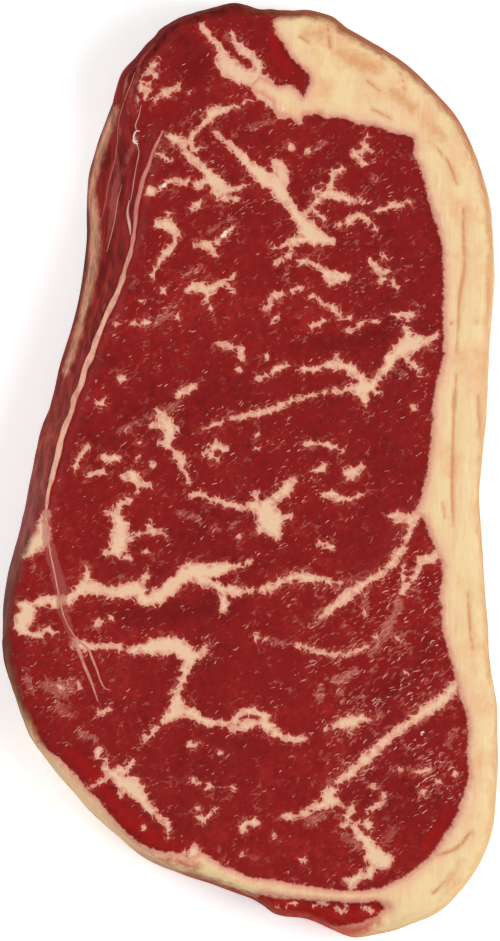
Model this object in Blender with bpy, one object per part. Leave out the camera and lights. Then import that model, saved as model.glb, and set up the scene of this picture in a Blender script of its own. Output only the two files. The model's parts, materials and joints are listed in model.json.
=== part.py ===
"""Raw sirloin steak, one thick slice of loin lying on a cut face. Metres, +Z up, origin under its middle.

The slice is a cube cut into a lattice, whose points are carried onto the steak's outline, its leaning
side and its cut face. Low relief is then raised on it: the fat cap and rim that stand proud of the lean,
the seams between muscles, the silver skin on the shoulder and the furrows of the side.
"""

import math

import bmesh
import bpy
from mathutils import Vector, noise

MM = 0.001

# Driving dimensions, in millimetres
LENGTH = 200.0
WIDTH = 106.0
THICKNESS = 24.0
TOP_ROUND = 2.6  # radius of the edge round the upper cut face
FOOT_ROUND = 2.0  # radius of the edge that meets the table
SIDE_BULGE = 1.0  # how far the side swells at half its height

# Cells of the lattice across, along and through the slice
CELLS_ACROSS = 34
CELLS_ALONG = 66
CELLS_DEEP = 9

# The widest outline, anticlockwise from the top end, drawn at DRAWN_LENGTH: x, y and how far the cut
# face's edge stands in from it, because the side leans.
DRAWN_LENGTH = 200.0
RIM = (
    (-3.0, 100.0, 0.4), (-10.0, 98.3, 0.9), (-16.5, 96.6, 1.2), (-20.5, 92.6, 1.2), (-26.3, 86.3, 1.2),
    (-29.6, 80.0, 3.1), (-32.5, 73.5, 7.6), (-34.7, 67.0, 10.8), (-36.0, 61.0, 10.6), (-36.1, 52.0, 9.1),
    (-36.9, 42.0, 7.2), (-38.8, 31.5, 5.0), (-41.9, 20.5, 4.2), (-44.5, 10.0, 3.2), (-46.7, 0.0, 2.7),
    (-49.0, -11.0, 1.9), (-51.1, -22.0, 0.7), (-52.9, -33.0, 0.5), (-51.9, -42.0, 0.3), (-49.0, -51.0, 0.3),
    (-44.3, -60.3, 0.5), (-38.5, -68.0, 0.9), (-31.5, -75.5, 1.1), (-24.5, -81.3, 1.2), (-16.0, -85.7, 1.3),
    (-5.0, -89.7, 1.5), (1.0, -92.4, 1.8), (5.5, -95.0, 2.0), (11.0, -95.8, 1.7), (16.0, -98.0, 1.2),
    (22.5, -100.0, 0.8), (30.0, -98.8, 0.8), (38.0, -95.4, 0.8), (43.5, -91.3, 0.8), (47.8, -84.6, 0.6),
    (50.9, -77.0, 0.3), (52.4, -67.0, 0.2), (53.0, -55.0, 0.0), (51.9, -42.0, 0.0), (50.9, -30.0, 0.0),
    (49.6, -17.0, 0.0), (48.9, -6.0, 0.0), (49.7, 12.0, 0.0), (50.7, 28.0, 0.0), (51.4, 45.0, 0.0),
    (50.5, 57.0, 0.2), (48.0, 66.5, 0.3), (43.8, 75.6, 0.4), (37.5, 83.0, 0.5), (30.0, 88.7, 0.6),
    (22.5, 93.2, 0.6), (18.0, 96.7, 0.4), (12.0, 98.5, 0.2), (4.5, 99.0, 0.2),
)

# Places on the rim where the lattice's four corners go, clockwise from the top left
CORNERS = ((-24.0, 88.8), (36.0, 84.3), (46.5, -87.0), (-40.0, -66.0))

# Where the lean ends and the fat cap and rim begin, clockwise from the top end
CAP_SEAM = (
    (5.0, 100.0), (5.2, 94.0), (11.5, 84.5), (5.5, 77.0), (12.0, 75.2), (22.0, 74.4), (34.5, 70.8),
    (37.8, 60.0), (40.6, 48.0), (41.3, 30.0), (38.9, 11.0), (37.0, -7.0), (41.0, -19.0), (41.1, -34.0),
    (44.2, -46.5), (46.7, -58.0), (45.4, -70.0), (39.5, -80.5), (31.0, -87.5), (20.0, -89.8), (5.0, -87.8),
    (-10.0, -84.6), (-22.0, -80.2), (-32.0, -71.8), (-42.5, -60.5), (-49.0, -53.0),
)
CAP_RISE = 0.7  # how far firm fat stands above the soft lean
CAP_BANK = 3.0  # width of the bank between them

# Seams where two muscles part, as furrows in the cut face
MUSCLE_SEAMS = (
    ((38.5, -5.0), (35.0, -11.5), (31.0, -18.5), (24.5, -23.8), (15.0, -31.0)),
    ((44.0, -46.0), (37.0, -51.5), (28.5, -58.0), (21.0, -65.0), (16.5, -71.0)),
    ((-41.0, -27.0), (-34.0, -25.0), (-22.0, -27.0), (-12.0, -21.5), (-2.0, -20.5)),
    ((-10.0, 95.0), (-4.0, 87.0), (3.0, 81.0), (10.0, 77.5)),
    ((1.0, 64.5), (6.5, 60.5), (11.5, 52.0), (16.5, 49.0)),
)
SEAM_DEPTH = 0.55
SEAM_REACH = 2.0

# The silver skin, a cord of membrane that runs down the shoulder
SILVER_SKIN = ((-18.5, 72.5), (-22.8, 61.5), (-25.0, 50.0), (-29.8, 35.0), (-35.8, 19.0), (-41.0, 3.0), (-43.3, -8.0))
SKIN_RISE = 0.8
SKIN_REACH = 1.8

# A flap of muscle under the rim at the bottom end, which lies lower than the rest of the face
FLAP = ((4.0, -91.8), (12.0, -93.2), (20.0, -94.2), (28.0, -93.6))
FLAP_DROP = 1.6
FLAP_REACH = 2.6

# Slow unevenness of the flesh, as (wavelength, height)
FACE_WAVES = ((46.0, 0.9), (19.0, 0.45))
SIDE_WAVES = ((28.0, 1.1), (11.0, 0.5))
FURROWS = 3  # layers of membrane that show down the leaning side
FURROW_DEPTH = 0.45
DRY_EDGE = 0.35  # share of the side's height that keeps clear of relief above the table

CHERRY_RED = (0.26, 0.018, 0.016, 1.0)
WET_ROUGHNESS = 0.38


def clear_scene():
    """Remove whatever the scene starts with."""
    for obj in list(bpy.data.objects):
        bpy.data.objects.remove(obj)


def smooth_step(low, high, value):
    """0 below low, 1 above high, and an even ramp between."""
    share = min(1.0, max(0.0, (value - low) / (high - low)))
    return share * share * (3.0 - 2.0 * share)


def through_points(before, start, end, after, share):
    """A point of the smooth curve through four neighbours, share of the way from start to end."""
    square = share * share
    cube = square * share
    return 0.5 * (
        2.0 * start
        + (end - before) * share
        + (2.0 * before - 5.0 * start + 4.0 * end - after) * square
        + (3.0 * start - before - 3.0 * end + after) * cube
    )


def closed_curve(points, steps=16):
    """The smooth closed curve through points, as many short steps."""
    knots = [Vector(point) for point in points]
    count = len(knots)
    curve = []
    for i in range(count):
        near = [knots[(i + offset) % count] for offset in (-1, 0, 1, 2)]
        curve += [through_points(*near, step / steps) for step in range(steps)]
    return curve


class Rim:
    """The steak's widest outline, read by its distance round the edge."""

    def __init__(self, points):
        self.curve = closed_curve(points)
        self.places = [0.0]
        for i, point in enumerate(self.curve):
            following = self.curve[(i + 1) % len(self.curve)]
            self.places.append(self.places[-1] + (following - point).to_2d().length)
        self.length = self.places[-1]

    def at(self, distance):
        """(x, y, lean) at a distance round the edge."""
        distance %= self.length
        low, high = 0, len(self.curve)
        while high - low > 1:
            middle = (low + high) // 2
            low, high = (middle, high) if self.places[middle] <= distance else (low, middle)
        span = self.places[low + 1] - self.places[low]
        following = self.curve[(low + 1) % len(self.curve)]
        return self.curve[low].lerp(following, (distance - self.places[low]) / span)

    def inward(self, distance):
        """The unit direction across the edge into the meat."""
        along = (self.at(distance + 2.0) - self.at(distance - 2.0)).to_2d().normalized()
        return Vector((-along.y, along.x))

    def nearest(self, place):
        """How far round the edge the point nearest to place is."""
        gaps = [(point.to_2d() - Vector(place)).length for point in self.curve]
        return self.places[gaps.index(min(gaps))]


def sliced_cube():
    """A cube from -1 to 1, cut into the lattice's cells."""
    lattice = bmesh.new()
    bmesh.ops.create_cube(lattice, size=2.0)
    for axis, cells in enumerate((CELLS_ACROSS, CELLS_ALONG, CELLS_DEEP)):
        normal = Vector([float(axis == i) for i in range(3)])
        for cut in range(1, cells):
            everything = lattice.verts[:] + lattice.edges[:] + lattice.faces[:]
            middle = normal * (2.0 * cut / cells - 1.0)
            bmesh.ops.bisect_plane(lattice, geom=everything, plane_co=middle, plane_no=normal)
    return lattice


def round_the_square(u, v):
    """Which side of the lattice (u, v) belongs to, clockwise from the top, and the share along it."""
    if abs(v) >= abs(u):
        return (0, 0.5 + 0.5 * u / v) if v > 0 else (2, 0.5 + 0.5 * u / v)
    return (1, 0.5 - 0.5 * v / u) if u > 0 else (3, 0.5 - 0.5 * v / u)


def side_inset(height, lean):
    """How far in from the widest outline the side stands at a height."""
    share = height / THICKNESS
    inset = lean * share + SIDE_BULGE * (2.0 * share - 1.0) ** 2
    over = min(1.0, max(0.0, height - (THICKNESS - TOP_ROUND)) / TOP_ROUND)
    under = min(1.0, max(0.0, FOOT_ROUND - height) / FOOT_ROUND)
    inset += TOP_ROUND * (1.0 - math.sqrt(1.0 - over * over))
    inset += FOOT_ROUND * (1.0 - math.sqrt(1.0 - under * under))
    return inset


def plain_slice(rim):
    """The sliced cube carried onto the steak: outline, leaning side and two flat faces."""
    stops = [rim.nearest(corner) for corner in CORNERS]
    # RIM runs anticlockwise and the lattice's sides clockwise, so distances fall along a side.
    spans = [(stops[i] - stops[(i + 1) % 4]) % rim.length for i in range(4)]
    scale = LENGTH / DRAWN_LENGTH
    lattice = sliced_cube()
    for vert in lattice.verts:
        u, v, w = vert.co
        reach = max(abs(u), abs(v))
        height = 0.5 * THICKNESS * (1.0 + math.sin(0.5 * math.pi * w))
        if reach < 1e-6:
            vert.co = Vector((0.0, 0.0, height))
            continue
        side, share = round_the_square(u, v)
        distance = stops[side] - spans[side] * share
        edge = rim.at(distance)
        inset = side_inset(height, edge.z)
        foot = edge.to_2d() + rim.inward(distance) * inset
        vert.co = (foot * reach * scale).to_3d()
        vert.co.z = height
    return lattice


def distance_to_line(place, line):
    """The shortest distance from a place on the face to a line of straight runs."""
    best = math.inf
    for start, end in zip(line, line[1:]):
        run = end - start
        share = min(1.0, max(0.0, (place - start).dot(run) / run.length_squared))
        best = min(best, (place - start - run * share).length)
    return best


def in_cap(place, seam):
    """How far a place lies past the seam into the fat cap, less than 0 in the lean."""
    closed = seam + [Vector((-60.0, -110.0)), Vector((-60.0, 110.0))]
    inside = False
    for start, end in zip(closed, closed[1:] + closed[:1]):
        if (start.y > place.y) != (end.y > place.y):
            crossing = start.x + (place.y - start.y) * (end.x - start.x) / (end.y - start.y)
            inside ^= place.x < crossing
    gap = distance_to_line(place, seam)
    return -gap if inside else gap


def waves(point, layers):
    """Slow unevenness at a point, from layers of (wavelength, height)."""
    return sum(height * noise.noise(point / wavelength) for wavelength, height in layers)


def face_relief(point, lines):
    """How far the upper cut face stands above its plain plane."""
    place = point.to_2d()
    rise = waves(point, FACE_WAVES)
    rise += CAP_RISE * smooth_step(-0.5 * CAP_BANK, 0.5 * CAP_BANK, in_cap(place, lines["cap"]))
    for seam in lines["seams"]:
        rise -= SEAM_DEPTH * math.exp(-((distance_to_line(place, seam) / SEAM_REACH) ** 2))
    rise += SKIN_RISE * math.exp(-((distance_to_line(place, lines["skin"]) / SKIN_REACH) ** 2))
    rise -= FLAP_DROP * math.exp(-((distance_to_line(place, lines["flap"]) / FLAP_REACH) ** 2))
    return rise


def side_relief(point):
    """How far the side swells out at a point, with the layers of membrane as long furrows."""
    share = point.z / THICKNESS
    leaning = smooth_step(20.0, 32.0, -point.x) * smooth_step(-30.0, 20.0, point.y)
    furrow = FURROW_DEPTH * leaning * math.cos(2.0 * math.pi * FURROWS * share)
    return waves(point, SIDE_WAVES) + furrow


def raise_relief(lattice):
    """Move the plain slice's points out along their normals, leaving the foot flat on the table."""
    as_lines = {
        "cap": [Vector(point) for point in CAP_SEAM],
        "skin": [Vector(point) for point in SILVER_SKIN],
        "flap": [Vector(point) for point in FLAP],
        "seams": [[Vector(point) for point in seam] for seam in MUSCLE_SEAMS],
    }
    lattice.normal_update()
    moves = {}
    for vert in lattice.verts:
        share = vert.co.z / THICKNESS
        if share < 0.5 * DRY_EDGE:
            continue
        facing_up = smooth_step(0.35, 0.9, vert.normal.z)
        move = facing_up * face_relief(vert.co, as_lines)
        move += (1.0 - facing_up) * side_relief(vert.co) * smooth_step(0.5 * DRY_EDGE, DRY_EDGE, share)
        moves[vert] = vert.normal * move
    for vert, move in moves.items():
        vert.co += move


def raw_meat():
    """Wet cherry-red lean."""
    material = bpy.data.materials.new("raw_meat")
    material.use_nodes = True
    surface = material.node_tree.nodes["Principled BSDF"]
    surface.inputs["Base Color"].default_value = CHERRY_RED
    surface.inputs["Roughness"].default_value = WET_ROUGHNESS
    surface.inputs["Metallic"].default_value = 0.0
    return material


def stand_on_origin(lattice):
    """Centre the slice over the origin, stand it on the table and make it its true size."""
    lows = [min(vert.co[i] for vert in lattice.verts) for i in range(3)]
    highs = [max(vert.co[i] for vert in lattice.verts) for i in range(3)]
    middle = Vector([0.5 * (lows[0] + highs[0]), 0.5 * (lows[1] + highs[1]), lows[2]])
    stretch = Vector([WIDTH / (highs[0] - lows[0]), LENGTH / (highs[1] - lows[1]), 1.0])
    for vert in lattice.verts:
        vert.co = (vert.co - middle) * stretch * MM


def steak():
    """The whole slice as one solid."""
    lattice = plain_slice(Rim(RIM))
    raise_relief(lattice)
    stand_on_origin(lattice)
    bmesh.ops.recalc_face_normals(lattice, faces=lattice.faces[:])
    mesh = bpy.data.meshes.new("sirloin_steak")
    lattice.to_mesh(mesh)
    lattice.free()
    mesh.shade_smooth()
    mesh.materials.append(raw_meat())
    return bpy.data.objects.new("sirloin_steak", mesh)


def main():
    """Build the steak in a collection of its own."""
    clear_scene()
    collection = bpy.data.collections.new("raw_sirloin_steak")
    bpy.context.scene.collection.children.link(collection)
    collection.objects.link(steak())


main()
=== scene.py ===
"""Raw sirloin steak for Object Factory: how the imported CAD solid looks. Metres, +Z up.

The steak is one dense closed skin built over the same outline and thickness as the CAD solid. Its fat,
membrane and rim are painted by distances that each point of the skin stores, and finer texture comes from
procedural noise. The silver skin, its threads and the flecks of fat are pieces of their own.
"""

import json
import logging
import math
from dataclasses import dataclass, field
from enum import Enum
from typing import Iterable, Sequence

import bmesh
import bpy
import numpy as np
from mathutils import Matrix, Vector, noise

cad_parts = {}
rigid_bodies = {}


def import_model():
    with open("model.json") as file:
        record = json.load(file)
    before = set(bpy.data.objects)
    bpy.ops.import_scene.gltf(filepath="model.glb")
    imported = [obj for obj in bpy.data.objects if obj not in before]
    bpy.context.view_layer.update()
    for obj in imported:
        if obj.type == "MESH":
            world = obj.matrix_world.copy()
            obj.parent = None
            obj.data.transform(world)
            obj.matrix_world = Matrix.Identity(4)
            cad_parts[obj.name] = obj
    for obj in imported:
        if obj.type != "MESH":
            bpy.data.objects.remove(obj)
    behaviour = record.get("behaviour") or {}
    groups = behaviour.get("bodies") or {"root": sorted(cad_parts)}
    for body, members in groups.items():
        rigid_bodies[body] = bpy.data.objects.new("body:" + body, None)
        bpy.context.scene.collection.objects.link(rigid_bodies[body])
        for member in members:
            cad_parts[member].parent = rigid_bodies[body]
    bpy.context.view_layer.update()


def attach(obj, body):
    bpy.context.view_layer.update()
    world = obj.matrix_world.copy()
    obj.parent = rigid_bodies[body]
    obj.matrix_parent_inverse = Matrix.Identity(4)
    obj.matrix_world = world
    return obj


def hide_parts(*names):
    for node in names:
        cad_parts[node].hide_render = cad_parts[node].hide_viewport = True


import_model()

log = logging.getLogger("steak")

MM = 0.001
NODE = "sirloin_steak"

Array = np.ndarray
Point = tuple[float, float]
Stroke = tuple[tuple[float, float, float], ...]


# Sizes of the slice, in millimetres

@dataclass(frozen=True)
class Slice:
    """The slab's sizes, the same as the CAD solid's."""

    length: float = 200.0
    width: float = 106.0
    thickness: float = 24.0
    top_round: float = 2.6
    foot_round: float = 2.0
    side_bulge: float = 1.0


@dataclass(frozen=True)
class Mesh:
    """How finely the skin is cut: cells across and along the face, and rows down the side."""

    across: int = 192
    along: int = 364
    round_rows: int = 5
    side_rows: int = 9


SLICE = Slice()
CELLS = Mesh()

# The widest outline, anticlockwise from the top end: x, y and how far the cut face's edge stands in from it
OUTLINE = (
    (-3.0, 100.1, .4), (-7.6, 99.0, .6), (-11.5, 98.3, .9), (-15.3, 97.3, 1.2), (-18.9, 94.8, 1.2),
    (-20.4, 92.7, 1.2), (-22.6, 90.5, 1.2), (-24.9, 87.7, 1.2), (-26.9, 85.4, 1.2), (-28.3, 82.3, 1.6),
    (-30.1, 78.8, 3.8), (-31.8, 75.0, 6.7), (-33.3, 71.5, 8.9), (-34.6, 67.6, 10.6), (-35.6, 64.0, 10.8),
    (-36.0, 60.0, 10.6), (-36.1, 55.0, 9.8), (-36.0, 50.0, 8.8), (-36.4, 45.0, 7.9), (-37.0, 40.0, 6.9),
    (-37.7, 35.9, 5.9), (-38.8, 31.2, 5.0), (-40.3, 26.3, 4.6), (-41.5, 22.2, 4.3), (-43.0, 15.0, 3.7),
    (-44.7, 9.1, 3.2), (-45.4, 6.0, 2.9), (-46.2, 1.5, 2.8), (-47.3, -4.0, 2.4), (-48.6, -9.5, 2.0),
    (-49.7, -14.5, 1.2), (-50.9, -19.2, .8), (-51.7, -23.0, .7), (-52.4, -28.0, .6), (-52.9, -32.5, .5),
    (-52.9, -36.5, .4), (-52.4, -40.5, .3), (-51.3, -45.0, .3), (-50.0, -48.6, .3), (-48.0, -53.0, .3),
    (-45.7, -57.9, .4), (-41.3, -64.6, .8), (-37.6, -69.2, 1.0), (-34.4, -73.0, 1.0), (-30.5, -76.6, 1.1),
    (-26.5, -80.0, 1.2), (-23.0, -82.6, 1.2), (-19.4, -84.6, 1.3), (-15.0, -86.2, 1.3), (-10.0, -88.0, 1.4),
    (-5.0, -90.0, 1.5), (0.0, -91.9, 1.8), (2.5, -93.3, 2.0), (5.0, -94.8, 2.0), (7.6, -95.5, 1.9),
    (11.3, -95.8, 1.6), (14.0, -96.8, 1.3), (17.0, -98.3, 1.1), (20.0, -99.5, .9), (22.7, -100.2, .8),
    (26.2, -99.7, .8), (31.2, -98.5, .8), (35.0, -96.9, .8), (39.1, -94.9, .8), (42.6, -92.2, .8),
    (45.1, -89.2, .8), (47.6, -85.4, .7), (49.6, -81.4, .5), (51.1, -77.4, .4), (51.9, -72.7, .3),
    (52.4, -68.0, .2), (52.8, -62.0, .1), (52.9, -55.0, 0), (52.9, -50.5, 0), (52.6, -47.0, 0),
    (52.0, -43.5, 0), (51.4, -38.5, 0), (51.2, -33.0, 0), (50.7, -27.5, 0), (50.3, -21.5, 0),
    (49.8, -16.0, 0), (49.2, -10.4, 0), (48.9, -5.0, 0), (49.2, 0, 0), (49.5, 6.0, 0),
    (49.9, 13.0, 0), (50.3, 20.0, 0), (50.7, 27.0, 0), (51.1, 33.0, 0), (51.3, 40.0, 0),
    (51.4, 46.0, 0), (51.3, 51.0, .1), (50.8, 56.0, .2), (49.9, 60.4, .2), (48.6, 65.3, .3),
    (46.7, 70.1, .3), (44.2, 75.0, .4), (41.5, 78.4, .4), (38.5, 81.6, .5), (35.2, 84.8, .6),
    (32.1, 87.3, .6), (28.1, 89.9, .6), (24.6, 91.8, .6), (21.1, 93.9, .6), (19.2, 95.5, .5),
    (17.6, 96.8, .4), (15.0, 97.7, .3), (12.2, 98.4, .2), (8.0, 98.6, .2), (4.7, 99.1, .2),
    (2.0, 99.1, .3),
)

# Places on the outline where the face grid's four corners go, clockwise from the top left
CORNERS = ((-24.0, 88.8), (36.0, 84.3), (46.5, -87.0), (-40.0, -66.0))

# The edge of the lean against the fat cap and rim, clockwise from the top end
LEAN_EDGE = (
    (8.5, 99.5), (8.3, 98.0), (6.0, 96.5), (4.6, 95.8), (5.3, 93.2), (7.0, 91.2), (8.5, 88.5), (10.5, 86.3),
    (12.6, 84.5), (12.9, 82.8), (12.0, 81.0), (11.4, 79.7), (10.5, 80.7), (8.5, 82.2), (6.0, 81.9),
    (4.0, 83.2), (2.0, 84.0), (0.5, 82.5), (0.5, 81.0), (2.5, 80.2), (4.7, 78.5), (5.0, 77.0), (6.0, 75.5),
    (8.5, 75.2), (10.0, 74.2), (11.0, 73.7), (11.3, 75.7), (14.5, 76.1), (16.0, 75.2), (20.0, 75.2),
    (22.5, 73.8), (26.0, 73.5), (30.0, 72.2), (33.0, 71.5), (34.9, 70.8), (35.1, 69.0), (34.8, 67.0),
    (36.0, 65.5), (37.0, 62.0), (37.7, 59.0), (38.7, 56.0), (39.5, 53.5), (40.3, 50.5), (41.0, 47.5),
    (41.2, 44.0), (41.3, 40.0), (41.2, 36.0), (41.1, 32.0), (41.3, 29.0), (41.3, 25.0), (40.8, 22.3),
    (40.2, 20.0), (39.3, 17.0), (38.9, 14.0), (38.9, 10.0), (38.7, 6.0), (38.2, 3.0), (37.8, 0.0),
    (37.2, -3.0), (36.8, -5.5), (36.0, -7.3), (35.0, -8.8), (37.0, -10.3), (38.5, -14.0), (39.5, -16.5),
    (41.0, -20.0), (40.8, -24.0), (40.3, -27.0), (40.9, -29.0), (40.8, -32.0), (41.2, -35.0), (42.3, -38.0),
    (43.0, -41.0), (43.7, -44.0), (44.7, -48.0), (45.8, -50.5), (46.3, -53.0), (46.6, -56.0), (46.2, -60.0),
    (46.5, -63.0), (46.8, -65.0), (46.0, -67.5), (45.2, -70.0), (44.3, -73.0), (43.0, -75.5), (41.0, -78.5),
    (39.5, -81.0), (37.0, -83.5), (35.0, -85.0), (33.0, -86.5), (30.0, -88.0), (27.0, -89.2), (24.0, -89.6),
    (20.0, -89.6), (16.0, -89.2), (12.0, -88.6), (8.0, -87.9), (4.0, -87.2), (0.0, -86.8), (-3.0, -85.3),
    (-5.0, -84.8), (-8.5, -82.5), (-10.3, -81.3), (-13.0, -82.3), (-15.0, -81.6), (-18.0, -81.3),
    (-20.5, -81.0), (-23.0, -79.8), (-26.0, -77.5), (-28.4, -74.9), (-30.7, -72.2), (-33.1, -69.6),
    (-35.5, -67.1), (-37.5, -64.7), (-39.5, -62.6), (-41.3, -60.9), (-43.0, -59.8), (-44.6, -58.4),
    (-60.0, -56.0),
)
LEAN_SIDE = ((-60.0, 110.0), (8.5, 110.0))  # closes the lean's region round its own side of the outline

# The tail muscle that shows below the bottom rim of fat
TAIL = (
    (2.5, -90.0), (5.0, -90.9), (8.0, -91.2), (10.0, -91.4), (14.0, -91.5), (18.0, -91.8), (24.0, -92.1),
    (27.0, -91.8), (29.3, -92.9), (27.0, -94.8), (24.0, -96.4), (20.0, -97.2), (16.0, -97.2), (12.0, -97.4),
    (7.0, -97.0), (3.0, -95.0), (0.0, -92.6),
)

# The rim's colour round the outline: x, y, colour, and how far in from the outline it reaches
RIM_TONES = (
    (-3.0, 100.0, "#5E1A14", 1.8), (-15.0, 97.3, "#6B1714", 2.2), (-24.9, 87.7, "#641313", 2.6),
    (-28.3, 82.3, "#80211E", 4.4), (-31.6, 75.0, "#7E201E", 7.4), (-35.6, 64.0, "#7E201E", 10.8),
    (-36.0, 50.0, "#7E201E", 10.0), (-37.7, 36.0, "#84241F", 7.8), (-41.5, 22.2, "#802B27", 5.8),
    (-45.1, 6.0, "#873A31", 4.2), (-48.6, -9.5, "#864340", 3.0), (-51.7, -23.0, "#6B3A32", 1.6),
    (-52.9, -36.5, "#6B3A32", 1.3), (-50.0, -48.6, "#8A5A40", .7), (-45.7, -57.9, "#D0A47C", .4),
    (-34.4, -73.0, "#E2BC92", .3), (-23.0, -82.6, "#BC8460", .5), (-10.0, -88.0, "#A24E3E", 1.2),
    (0.0, -91.9, "#96362A", 1.6), (11.3, -95.8, "#BA3A2C", .9), (20.0, -99.5, "#CE5F4A", 1.3),
    (31.2, -98.5, "#DDB984", .7), (45.1, -89.2, "#DDB984", .5), (52.4, -68.0, "#D2A474", .4),
    (52.9, -50.5, "#C9986A", .6), (50.3, -21.5, "#C9986A", .6), (48.9, -5.0, "#D2A070", .5),
    (50.3, 20.0, "#D8AC7C", .4), (51.3, 45.0, "#D2A070", .3), (48.6, 65.3, "#C48A62", .6),
    (41.5, 78.4, "#B26A4A", .9), (28.1, 89.9, "#A85F42", 1.0), (17.6, 96.8, "#9C5838", 1.2),
    (8.0, 98.6, "#80341F", 1.8),
)


class Tissue(Enum):
    """What a stroke is made of, except GLINT, whose strokes are painted highlights. The value names the distance that
    the skin stores for it.
    """

    FAT = "fat"
    SOFT = "soft"
    MEMBRANE = "membrane"
    TAN = "tan"
    CRACK = "crack"
    GLINT = "glint"
    STAIN = "stain"
    BRIGHT = "bright"
    DARK = "dark"
    SHADE = "shade"
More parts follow.
